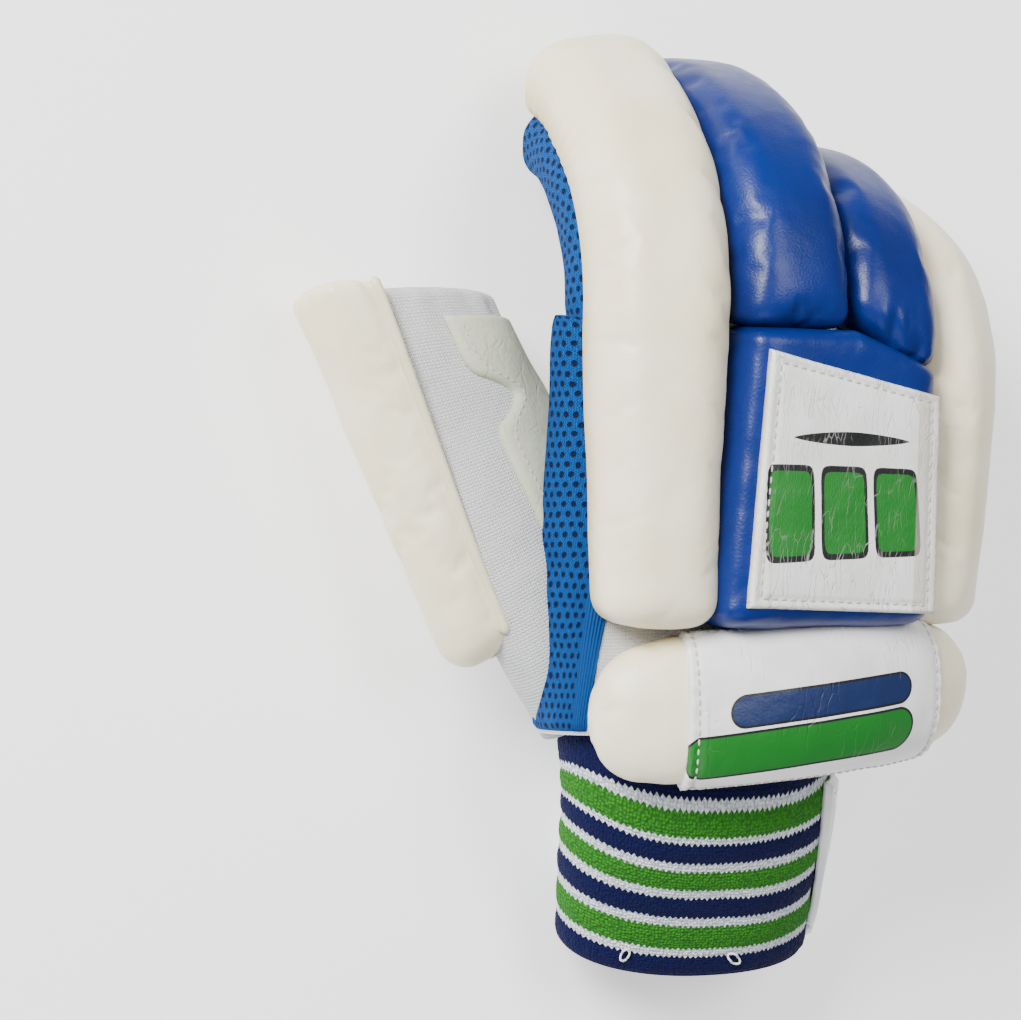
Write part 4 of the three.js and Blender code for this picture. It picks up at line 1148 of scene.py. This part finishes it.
def thumb_roll_half(s):
    return lerp(8, 14.2, np.clip(s / THUMB_LENGTH, 0, 1))


def thumb_roll_grid():
    low, high = THUMB_LENGTH * THUMB_ROLL_START, THUMB_LENGTH + THUMB_REACH
    rows = rounded_rows(low, high, 9, 4, 60)
    grid = []
    for s in rows:
        gone = max(inset(9, s - low), inset(4, high - s))
        surface = float(thumb_depth(s)) / 2
        section = loaf(thumb_roll_half(s) - gone, surface - 4, surface, surface + 15 - gone, 2.9, 76)
        grid.append(thumb_place(np.full(len(section), s), section[:, 0] + thumb_roll_half(s) - 14, section[:, 1]))
    return rows, np.array(grid)


rows, grid = thumb_roll_grid()
s = rows[:, None]
column = np.arange(grid.shape[1])[None, :]
push = 0.5 * lumps(grid, 18, 71) + 0.2 * lumps(grid, 7, 72)
push = push + 0.35 * np.sin(column * 0.9 + 2 * lumps(grid, 8, 73)) * smooth((s - rows[-1] + 12) / 12)
grid = pushed(grid, push, 4)
thumb_roll = tube("thumb_roll_leather", grid, cream_leather, (1.5, 0.4))
swell(thumb_roll, underside(thumb_roll, grid.shape[1], 0.62), 0.7)
finish_piece(thumb_roll, "cream_leather", "thumb_roll", fill=0.75, level=1)


def cord(name, line, radius, material, slot, sides=10):
    """A round cord along a line of millimetre points, on its own or as piping."""
    line = np.asarray(line, float)
    along = unit(np.gradient(line, axis=0))
    side = unit(np.cross(along, np.where(np.abs(along[:, 2:]) > 0.8, [[1.0, 0, 0]], [[0, 0, 1.0]])))
    rise = np.cross(side, along)
    a = np.linspace(0, 2 * math.pi, sides, endpoint=False)[None, :, None]
    grid = line[:, None] + radius * (side[:, None] * np.cos(a) + rise[:, None] * np.sin(a))
    return finish_piece(tube(name, grid, material, (radius, radius), cap_rows=3), slot)


s = np.linspace(THUMB_LENGTH * THUMB_ROLL_START + 6, THUMB_LENGTH + THUMB_REACH - 1, 80)
edge_line = thumb_place(s, 2 * thumb_roll_half(s) - 14.2 + 0 * s, thumb_depth(s) / 2 - 0.5)
cord("thumb_piping", edge_line, 1.7, piping_leather, "cream_leather")


def thumb_patch():
    s = np.linspace(0.4, 0.95, 70)[:, None] * THUMB_LENGTH
    top = 6 - 20 * np.exp(-(((s / THUMB_LENGTH - 0.74) / 0.05) ** 2))
    a = np.radians(lerp(-130, top, np.linspace(0, 1, 60)[None, :]))
    rim = np.minimum(np.minimum(s - s[0], s[-1] - s), np.minimum(a - a[:, :1], a[:, -1:] - a) * 16)

    def layer(offset):
        across, up = oval(a + 0 * s, THUMB_WIDTH / 2 + offset, thumb_depth(s) / 2 + offset, 2.6)
        return thumb_place(s + 0 * a, across, up)

    base = layer(0.3)
    height = 0.3 + 1.6 * edge_profile(rim, 2.2) + 0.35 * lumps(base, 9, 81) * edge_profile(rim, 6)
    piece = slab("thumb_leather", layer(height), layer(-0.8), palm_leather)
    return finish_piece(piece, "palm_leather", "thumb_patch")


thumb_leather = thumb_patch()


# Back of the hand

def back_place(s, across, up):
    pitch = math.radians(HAND_PITCH)
    s, across, up = np.broadcast_arrays(*(np.asarray(x, float) for x in (s, across, up)))
    share = np.clip(1 + s / PAD_BACK, 0, 1)
    seam = lerp(-MIDDLE.set_back, -RING.set_back - RING.skew, np.clip(across / RING.roll_width, 0, 1))
    reach = s + seam * share
    flare = -PAD_FLARE * (1 - share) * (PAD_RIGHT - across) / (PAD_LEFT + PAD_RIGHT)
    return np.stack([
        across + flare,
        reach * math.cos(pitch) - up * math.sin(pitch),
        KNUCKLE_HEIGHT + reach * math.sin(pitch) + up * math.cos(pitch),
    ], axis=-1)


def pad_grid(offset=0.0):
    low, high = -PAD_BACK - offset, -0.2 + offset
    rows = rounded_rows(low, high, 6, 4, 60)
    middle, half = (PAD_RIGHT - PAD_LEFT) / 2, (PAD_LEFT + PAD_RIGHT) / 2 + offset
    grid = []
    for s in rows:
        gone = max(inset(6, s - low), inset(4, high - s))
        section = loaf(half - gone, MIDDLE.thickness / 2 - 2, MIDDLE.thickness / 2 + VALLEY_HEIGHT / 2,
                       PAD_TOP - gone + offset, 7, 104)
        grid.append(back_place(s, section[:, 0] + middle, section[:, 1]))
    return rows, np.array(grid)


rows, grid = pad_grid()
push = 0.3 * lumps(grid, 22, 91) + 0.15 * lumps(grid, 8, 92)
grid = pushed(grid, push, 5)
pad = tube("back_pad_leather", grid, blue_leather, (1.0, 0.3))
swell(pad, underside(pad, grid.shape[1], 0.6), 0.45)
finish_piece(pad, "blue_leather", "back_pad", fill=0.85, level=1)


# How far each corner of the patch is off the pad's own lines, across and forward
PATCH_SHIFTS = {
    "left back": (-1.8, 2.4), "right back": (1.6, 0.4), "left front": (-2.2, 2.2), "right front": (0.6, -1.6),
}


def patch_place(s, x, lift):
    """A place on the patch, whose edges are straight between its four corners."""
    right = PAD_RIGHT - 3
    along = np.clip((np.asarray(s, float) + PATCH_FRONT + PATCH_LENGTH) / PATCH_LENGTH, 0, 1)
    across = np.clip((np.asarray(x, float) - right + PATCH_WIDTH) / PATCH_WIDTH, 0, 1)
    along, across, lift = np.broadcast_arrays(along, across, np.asarray(lift, float))
    point = 0
    for name, (dx, dy) in PATCH_SHIFTS.items():
        left_side, back_side = "left" in name, "back" in name
        corner = back_place(-PATCH_FRONT - (PATCH_LENGTH if back_side else 0),
                            right - (PATCH_WIDTH if left_side else 0), PAD_TOP) + [dx, dy, 0]
        weight = (1 - across if left_side else across) * (1 - along if back_side else along)
        point = point + spread(weight) * corner
    pitch = math.radians(HAND_PITCH)
    return point + spread(lift) * [0, -math.sin(pitch), math.cos(pitch)]


def patch_piece():
    """The leather patch on the pad, held down by a row of stitches round it."""
    right = PAD_RIGHT - 3
    x = np.linspace(right - PATCH_WIDTH, right, 96)[None, :]
    s = np.linspace(-PATCH_FRONT - PATCH_LENGTH, -PATCH_FRONT, 120)[:, None]
    rim = np.minimum(np.minimum(x - x[0, 0], x[0, -1] - x), np.minimum(s - s[0], s[-1] - s))
    flat = patch_place(s, x, 0)
    stitched = np.exp(-(((rim - 3) / 0.9) ** 2))
    puckers = np.sin((s + x) * 2 * math.pi / 3.4) * np.exp(-(((rim - 1.6) / 1.6) ** 2))
    height = 0.3 + 1.4 * edge_profile(rim, 1.1) - 0.5 * stitched + 0.16 * puckers
    height = height + 0.5 * smooth((rim - 3) / 10) + 0.18 * lumps(flat, 9, 95)
    piece = slab("back_patch_leather", patch_place(s, x, height), patch_place(s, x, -1.2), patch_white)
    return finish_piece(piece, "white_leather", "back_patch")


patch = patch_piece()


# Wrist roll

ROLL_TABLE = {
    "along": [0, 0.02, 0.07, 0.15, 0.38, 0.62, 0.84, 0.91, 0.97, 1],
    "wide": [0.34, 0.66, 0.9, 1, 1, 0.98, 0.94, 0.8, 0.5, 0.22],
    "thick": [0.4, 0.66, 0.88, 1, 1, 1, 0.96, 0.85, 0.6, 0.3],
}
WRIST_ROLL_LENGTH, WRIST_ROLL_X, WRIST_ROLL_WIDTH, WRIST_ROLL_THICKNESS = 131, -6.5, 43, 23
WRIST_ROLL_BACK, WRIST_ROLL_DROOP, WRIST_ROLL_TILT = 112, 17, math.radians(4)
WRIST_PANEL_LENGTH = 83


def wrist_roll_place(share, across, up):
    share = np.asarray(share, float)
    bend = 2 * share - 1
    x = WRIST_ROLL_X + bend * WRIST_ROLL_LENGTH / 2
    y = -WRIST_ROLL_BACK + (x - WRIST_ROLL_X) * math.tan(WRIST_ROLL_TILT)
    z = WRIST_TOP - 1 + WRIST_ROLL_THICKNESS / 2 - WRIST_ROLL_DROOP * bend ** 2
    lean = np.arctan(4 * WRIST_ROLL_DROOP * bend / WRIST_ROLL_LENGTH)
    return np.stack([x + up * np.sin(lean), y + across, z + up * np.cos(lean)], axis=-1)


def wrist_roll_ring(share, offset, a):
    wide = np.interp(share, ROLL_TABLE["along"], ROLL_TABLE["wide"])
    thick = np.interp(share, ROLL_TABLE["along"], ROLL_TABLE["thick"])
    across, up = oval(a, WRIST_ROLL_WIDTH / 2 * wide + offset, WRIST_ROLL_THICKNESS / 2 * thick + offset, 2.4)
    return wrist_roll_place(np.full_like(a, share), across, up)


a = np.linspace(0, 2 * math.pi, 84, endpoint=False)
shares = np.concatenate([0.08 * np.linspace(0, 1, 10)[:-1] ** 1.8, np.linspace(0.08, 0.88, 74),
                         1 - 0.12 * np.linspace(1, 0, 14)[1:] ** 1.3])
grid = np.array([wrist_roll_ring(share, 0.0, a) for share in shares])
kernel = np.array([1, 2, 3, 2, 1]) / 9
for k in range(3):
    padded = np.pad(grid[..., k], ((2, 2), (0, 0)), "edge")
    grid[2:-2, :, k] = sum(padded[i:i + len(grid)] * kernel[i] for i in range(5))[2:-2]
push = 0.5 * lumps(grid, 16, 101) + 0.25 * lumps(grid, 7, 102)
grid = pushed(grid, push, 6)
wrist_roll = tube("wrist_roll_leather", grid, cream_leather, (1.0, 0.5))
swell(wrist_roll, underside(wrist_roll, grid.shape[1], 0.56), 0.5)
finish_piece(wrist_roll, "cream_leather", "wrist_roll", fill=0.8, level=1)


def wrist_panel():
    half = WRIST_PANEL_LENGTH / WRIST_ROLL_LENGTH / 2
    shares = np.linspace(0.5 - half, 0.5 + half, 110)
    a = np.linspace(math.pi * 1.04, -math.pi * 0.04, 84)
    length = (shares - shares[0])[:, None] * WRIST_ROLL_LENGTH
    rim = np.minimum(length, length[-1] - length)
    side = np.minimum(a - a[-1], a[0] - a)[None, :] * 13
    puckers = np.sin(a[None, :] * 30) * np.exp(-(((rim - 1.4) / 1.4) ** 2))
    puckers = puckers + np.sin(length * 2 * math.pi / 2.7) * np.exp(-(((side - 1.4) / 1.4) ** 2))
    base = np.array([wrist_roll_ring(share, 0.4, a) for share in shares])
    height = 0.2 + 1.4 * edge_profile(np.minimum(rim, side), 1.2) + 0.22 * puckers
    height = height - 0.5 * np.exp(-(((rim - 2.6) / 0.9) ** 2)) + 0.25 * lumps(base, 10, 111)
    normals = np.stack([wrist_roll_ring(share, 1.4, a) for share in shares]) - base
    outer = base + unit(normals) * spread(height)
    piece = slab("wrist_panel_leather", outer, base - unit(normals) * 1.2, panel_white)
    return finish_piece(piece, "white_leather", "wrist_panel")


panel = wrist_panel()


# Cuff and strap

def cuff_place(s, angle, offset, floor):
    s, angle = np.broadcast_arrays(np.asarray(s, float), np.asarray(angle, float))
    share = s / CUFF_LENGTH

    def slope(d):
        return np.radians(lerp(*CUFF_SLOPE, smooth(d / (0.55 * CUFF_LENGTH))))

    steps = slope(s[..., None] * (np.arange(20) + 0.5) / 20)
    way = unit(np.stack([np.full_like(steps, CUFF_DRIFT / CUFF_LENGTH), -np.cos(steps), -np.sin(steps)], axis=-1))
    point = np.array([WRIST_X + CUFF_SHIFT, -PALM_LENGTH - 0.35, WRIST_HEIGHT]) + way.mean(-2) * spread(s)
    tilt = slope(s) * smooth(s / (0.3 * CUFF_LENGTH))
    across, up = oval(angle, lerp(CUFF_TOP_WIDTH, CUFF_WIDTH, share) / 2 + offset, WRIST_THICKNESS / 2 + offset, 2.2)
    point = point + np.stack([across, -up * np.sin(tilt), up * np.cos(tilt)], axis=-1)
    point[..., 2] = np.maximum(point[..., 2], floor)
    return point


def stripe_row(s, angle):
    """Which row of the stripes is at a place on the cuff: they curve up towards its two edges."""
    return s + STRIPE_RISE * (1 - s / CUFF_LENGTH) * np.abs(np.cos(angle)) ** 3


def cuff_piece():
    rows = np.linspace(-4, CUFF_LENGTH, 165)[:, None]
    a = np.linspace(0, 2 * math.pi, 220, endpoint=False)[None, :]
    band = stripe_row(rows, a)
    swell, edge = np.zeros_like(band), 0.0
    for name, width in STRIPES:
        inside = np.clip((band - edge) / width, 0, 1)
        swell = swell + (0.1 if name == "white" else 0.55) * np.sin(inside * math.pi) ** 0.6
        edge += width
    rough = 0.16 * lumps(np.stack([a * 40 + 0 * rows, rows + 0 * a, 0 * a + 0 * rows], axis=-1), 1.3, 121)
    ripple = 0.6 * lumps(cuff_place(rows, a, 0, 0), 22, 122)
    hem = smooth((CUFF_LENGTH - rows) / 1.6)
    outer = cuff_place(rows, a, (swell + rough + ripple) * hem - 0.3, 0.0)
    outer[..., 2] = np.maximum(outer[..., 2], CUFF_FLOOR - 0.2)
    inner = cuff_place(rows, a, -2.2, CUFF_FLOOR + 2.0)
    piece = slab("cuff_knit", outer, inner, striped, wrap=True)
    layer = piece.data.uv_layers["cloth"].data
    flat, corner = np.empty(len(layer) * 2, np.float32), np.empty(len(layer), np.int32)
    layer.foreach_get("uv", flat)
    piece.data.loops.foreach_get("vertex_index", corner)
    flat[1::2] = band.ravel()[corner % band.size]
    layer.foreach_set("uv", flat)
    return finish_piece(piece, "striped_knit", "cuff")


cuff_piece()
STRAP_ANGLES = (38, -126)
STRAP_SLANT = 26


def strap_lift(angle):
    return lerp(0.7, 2.5, smooth((angle - 30) / (-72 - 30)))


def strap_piece():
    high = CUFF_LENGTH - 1
    low = high - STRAP_WIDTH
    share = np.linspace(0, 1, 70)[:, None]
    start = STRAP_ANGLES[0] - STRAP_SLANT * share ** 1.6
    degrees = lerp(start, STRAP_ANGLES[1], np.linspace(0, 1, 150)[None, :])
    free = np.clip((degrees - STRAP_ANGLES[1]) / 22, 0, 1)
    keep = 0.6 + 0.4 * np.sqrt(1 - (1 - free) ** 2)
    s = lerp(low, high, 0.5 + (share - 0.5) * keep)
    rim = np.minimum(np.minimum(share, 1 - share) * STRAP_WIDTH * keep, (degrees - STRAP_ANGLES[1]) * 0.7)
    rim = np.minimum(rim, (start - degrees) * 0.7)
    a = np.radians(degrees) + 0 * s
    lift = strap_lift(degrees)
    frame_line = np.exp(-(((rim - 6.5) / 0.5) ** 2)) - np.exp(-(((rim - 8.0) / 0.7) ** 2)) * 0.4
    stitched = np.exp(-(((rim - 3) / 0.7) ** 2))
    thickness = STRAP_WALL * (0.35 + 0.65 * edge_profile(rim, 1.3)) - 0.35 * stitched - 0.45 * frame_line
    wave = 0.5 * lumps(cuff_place(s, a, 3, 0), 26, 131)
    outer = cuff_place(s, a, lift + thickness + wave * smooth(outer_clear(degrees)), 0.0)
    inner = cuff_place(s, a, lift - 0.2, STRAP_WALL - 0.4)
    piece = slab("strap_band", outer, inner, strap_white)
    return finish_piece(piece, "strap_vinyl", "strap")


def outer_clear(degrees):
    """0 where the strap is pressed on the surface, 1 on its free sides."""
    return (np.abs(degrees + 90) - 35) / 25


strap = strap_piece()


def fastener_piece():
    high = CUFF_LENGTH - 1 - STRAP_WIDTH * 0.2
    low = high - STRAP_WIDTH * 0.6
    s = np.linspace(low, high, 30)[:, None]
    degrees = np.linspace(-72, -108, 40)[None, :]
    rim = np.minimum(np.minimum(s - low, high - s), np.minimum(-72 - degrees, degrees + 108) * 0.8)
    a = np.radians(degrees) + 0 * s
    outer = cuff_place(s, a, 0.7 + 1.1 * edge_profile(rim, 0.8), 2.9)
    inner = cuff_place(s, a, 0.4, 4.0)
    return finish_piece(slab("fastener_pad", outer, inner, fastener_felt), "fastener", "strap_fastener")


fastener_piece()


# Stitches

def stitch_tree():
    """Small rounded stitches on points that carry the way along the row and the way out of the leather."""
    tree = bpy.data.node_groups.new("stitches", "GeometryNodeTree")
    face = tree.interface
    face.new_socket("Geometry", in_out="INPUT", socket_type="NodeSocketGeometry")
    sockets = {
        name: face.new_socket(name, in_out="INPUT", socket_type="NodeSocketFloat")
        for name in ("Length", "Width", "Height")
    }
    sockets["Thread"] = face.new_socket("Thread", in_out="INPUT", socket_type="NodeSocketMaterial")
    face.new_socket("Geometry", in_out="OUTPUT", socket_type="NodeSocketGeometry")
    new, link = tree.nodes.new, tree.links.new
    given, result = new("NodeGroupInput"), new("NodeGroupOutput")
    ball = new("GeometryNodeMeshUVSphere")
    ball.inputs["Segments"].default_value = 8
    ball.inputs["Rings"].default_value = 6
    ball.inputs["Radius"].default_value = 0.5
    size = new("ShaderNodeCombineXYZ")
    for axis, name in zip("XYZ", ("Length", "Width", "Height")):
        link(given.outputs[name], size.inputs[axis])
    shape = new("GeometryNodeTransform")
    link(ball.outputs["Mesh"], shape.inputs["Geometry"])
    link(size.outputs[0], shape.inputs["Scale"])
    turn = None
    for axis, attribute, pivot in (("X", "run", "AUTO"), ("Z", "out", "X")):
        read = new("GeometryNodeInputNamedAttribute")
        read.data_type = "FLOAT_VECTOR"
        read.inputs["Name"].default_value = attribute
        align = new("FunctionNodeAlignRotationToVector")
        align.axis, align.pivot_axis = axis, pivot
        link(read.outputs["Attribute"], align.inputs["Vector"])
        if turn:
            link(turn.outputs[0], align.inputs["Rotation"])
        turn = align
    put = new("GeometryNodeInstanceOnPoints")
    link(given.outputs["Geometry"], put.inputs["Points"])
    link(shape.outputs[0], put.inputs["Instance"])
    link(turn.outputs[0], put.inputs["Rotation"])
    real = new("GeometryNodeRealizeInstances")
    link(put.outputs[0], real.inputs[0])
    smooth_ = new("GeometryNodeSetShadeSmooth")
    link(real.outputs[0], smooth_.inputs[0])
    paint = new("GeometryNodeSetMaterial")
    link(smooth_.outputs[0], paint.inputs[0])
    link(given.outputs["Thread"], paint.inputs["Material"])
    link(paint.outputs[0], result.inputs[0])
    return tree, {name: socket.identifier for name, socket in sockets.items()}


STITCHES, STITCH_INPUTS = stitch_tree()


def stitches(name, rows, surface, thread, slot, pitch=3.2, size=(2.3, 0.65, 0.5), lift=0.1):
    """Rows of stitches along lines of millimetre points, set down on a surface."""
    spots, runs, outs = [], [], []
    for line in rows:
        line = np.asarray(line, float)
        length = np.linalg.norm(np.diff(line, axis=0), axis=1).sum()
        count = max(2, int(length / pitch))
        points = even(line, count + 1, closed=False)
        for a, b in zip(points, points[1:]):
            hit, normal, _, _ = surface.find_nearest(Vector(metres((a + b) / 2)))
            if hit is None:
                continue
            start, _, _, _ = surface.find_nearest(Vector(metres(a)))
            end, _, _, _ = surface.find_nearest(Vector(metres(b)))
            if (end - start).length < 1e-5:
                continue
            spots.append(hit + normal * lift / 1000)
            runs.append((end - start).normalized())
            outs.append(normal)
    mesh = bpy.data.meshes.new(name)
    mesh.from_pydata([tuple(p) for p in spots], [], [])
    for label, values in (("run", runs), ("out", outs)):
        attribute = mesh.attributes.new(label, "FLOAT_VECTOR", "POINT")
        attribute.data.foreach_set("vector", np.array(values, np.float32).ravel())
    piece = bpy.data.objects.new(name, mesh)
    bpy.context.scene.collection.objects.link(piece)
    modifier = piece.modifiers.new("stitches", "NODES")
    modifier.node_group = STITCHES
    for label, value in zip(("Length", "Width", "Height"), size):
        modifier[STITCH_INPUTS[label]] = value / 1000
    modifier[STITCH_INPUTS["Thread"]] = thread
    graph = bpy.context.evaluated_depsgraph_get()
    made = bpy.data.meshes.new_from_object(piece.evaluated_get(graph))
    piece.modifiers.clear()
    piece.data = made
    return finish_piece(piece, slot)


patch_tree = surface_of(patch)


def patch_line(rim):
    right = PAD_RIGHT - 3 - rim
    left = PAD_RIGHT - 3 - PATCH_WIDTH + rim
    front, back = -PATCH_FRONT - rim, -PATCH_FRONT - PATCH_LENGTH + rim
    corners = [(left, back), (right, back), (right, front), (left, front), (left, back)]
    sides = []
    for (x0, s0), (x1, s1) in zip(corners, corners[1:]):
        t = np.linspace(0, 1, 40)
        sides.append(patch_place(lerp(s0, s1, t), lerp(x0, x1, t), 1))
    return sides


stitches("patch_stitches", patch_line(3), patch_tree, patch_thread, "white_leather", size=(2.2, 0.8, 0.6))

panel_tree = surface_of(panel)


def panel_side(distance):
    half = WRIST_PANEL_LENGTH / WRIST_ROLL_LENGTH / 2
    a = np.linspace(math.pi * 0.97, math.pi * 0.03, 60)
    return [wrist_roll_ring(share, 1.5, a) for share in (
        0.5 - half + distance / WRIST_ROLL_LENGTH, 0.5 + half - distance / WRIST_ROLL_LENGTH)]


def panel_long(angle):
    half = WRIST_PANEL_LENGTH / WRIST_ROLL_LENGTH / 2 - 2 / WRIST_ROLL_LENGTH
    return [np.array([wrist_roll_ring(share, 1.5, np.array([math.radians(angle)]))[0]
                      for share in np.linspace(0.5 - half, 0.5 + half, 60)])]


stitches("panel_stitches", panel_side(2.6) + panel_long(14) + panel_long(166), panel_tree, patch_thread,
         "white_leather", pitch=2.8, size=(2.1, 0.75, 0.6))

strap_tree = surface_of(strap)


def strap_line(rim, degrees):
    share = rim / STRAP_WIDTH
    high = CUFF_LENGTH - 1
    a = np.radians(np.asarray(degrees, float))
    lift = strap_lift(np.asarray(degrees, float)) + STRAP_WALL
    return [cuff_place(lerp(high - STRAP_WIDTH, high, t), a, lift, 0.0) for t in (share, 1 - share)]


stitches("strap_stitches", strap_line(3, np.linspace(33, -104, 90)), strap_tree, white_thread, "strap_vinyl",
         pitch=3.4)


grip_tree = surface_of(grip)
middle_of_grip = np.mean(grip_outline, axis=0)
GRIP_SEAM_SHARE = 0.92
seam = even(middle_of_grip + (np.array(grip_outline) - middle_of_grip) * GRIP_SEAM_SHARE, 80)
for _ in range(8):
    seam = (np.roll(seam, 1, axis=0) + 2 * seam + np.roll(seam, -1, axis=0)) / 4
seam = np.column_stack([np.vstack([seam, seam[:1]]), np.full(len(seam) + 1, KNUCKLE_HEIGHT - 30.0)])
stitches("grip_stitches", [seam], grip_tree, white_thread, "palm_leather", pitch=3.4)

for f in FINGERS.values():
    tip = finger_frame(f, np.full(30, f.length + FINGERTIP_REACH + 2.0))
    rise = np.linspace(f.thickness / 2, f.thickness / 2 + ROLL_THICKNESS - 2, 30)
    stitches(f.name + "_tip_stitches", [place(tip, f.shift + 0 * rise, rise)], surface_of(rolls[f.name]),
             white_thread, "white_leather", pitch=3.0, size=(2.0, 0.6, 0.5))

s = np.linspace(0.42, 0.93, 60) * THUMB_LENGTH
top = 3 - 20 * np.exp(-(((s / THUMB_LENGTH - 0.74) / 0.05) ** 2))
across, up = oval(np.radians(top - 3), THUMB_WIDTH / 2 + 2, thumb_depth(s) / 2 + 2, 2.6)
stitches("thumb_stitches", [thumb_place(s, across, up)], surface_of(thumb_leather), patch_thread, "palm_leather",
         pitch=2.6, size=(1.7, 0.6, 0.5))

# Two loose ends of yarn by the hem
for k, (at, turn) in enumerate(((132, 0.4), (84, 1.9))):
    t = np.linspace(0, 2 * math.pi, 26)
    bow = 1.7 + 0.5 * np.sin(2 * t + k)
    ring = cuff_place(CUFF_LENGTH - 6.5 + bow * np.sin(t + turn), math.radians(at) + bow * np.cos(t + turn) / 40,
                      0.9 + 0.5 * np.sin(3 * t), 0.0)
    cord(f"yarn_end_{k}", ring, 0.35, white_thread, "white_knit", sides=6)


# Camera, light and floor

camera = bpy.data.objects.new("camera", bpy.data.cameras.new("camera"))
bpy.context.scene.collection.objects.link(camera)
bpy.context.scene.camera = camera
BACK = Vector((-0.5, 0, 0.866)).normalized()
TARGET = Vector(metres([-91.1, -55.5, 48.5]))
CAMERA_DISTANCE = 1.2
camera.location = TARGET + BACK * CAMERA_DISTANCE
right = Vector((0, 1, 0)).cross(BACK)
camera.rotation_euler = Matrix((right, (0, 1, 0), BACK)).transposed().to_euler()
camera.data.sensor_width = 36
camera.data.lens = 143.4
camera.data.clip_start, camera.data.clip_end = 0.05, 20

floor_mesh = bpy.data.meshes.new("floor")
FLOOR_HALF = 4
corners = [(x * FLOOR_HALF, y * FLOOR_HALF, 0) for x, y in ((-1, -1), (1, -1), (1, 1), (-1, 1))]
floor_mesh.from_pydata(corners, [], [(0, 1, 2, 3)])
floor = bpy.data.objects.new("floor", floor_mesh)
bpy.context.scene.collection.objects.link(floor)
FLOOR_GLOW = 0.65
floor_finish = Finish("studio_floor")
floor_finish.set(colour=(0.95, 0.95, 0.95), rough=0.9)
floor_finish.shader.inputs["Emission Color"].default_value = (1, 1, 1, 1)
floor_finish.shader.inputs["Emission Strength"].default_value = FLOOR_GLOW
floor_mesh.materials.append(floor_finish.material)


def light(name, place_, size, power_, tint=(1, 1, 1)):
    lamp = bpy.data.lights.new(name, "AREA")
    lamp.shape, lamp.size, lamp.energy, lamp.color = "DISK", size, power_, tint
    lamp_object = bpy.data.objects.new(name, lamp)
    bpy.context.scene.collection.objects.link(lamp_object)
    lamp_object.location = place_
    way = TARGET - Vector(place_)
    lamp_object.rotation_euler = way.to_track_quat("-Z", "Y").to_euler()


light("key", (-1.3, 0.8, 0.95), 0.8, 66)
light("top", (0.2, 0.5, 1.5), 0.9, 16)
light("fill", (-0.5, -1.1, 0.8), 1.2, 5)
world = bpy.data.worlds.new("studio")
world.use_nodes = True
world.node_tree.nodes["Background"].inputs["Color"].default_value = (0.95, 0.97, 1.0, 1)
world.node_tree.nodes["Background"].inputs["Strength"].default_value = 0.36
bpy.context.scene.world = world

bpy.context.view_layer.update()
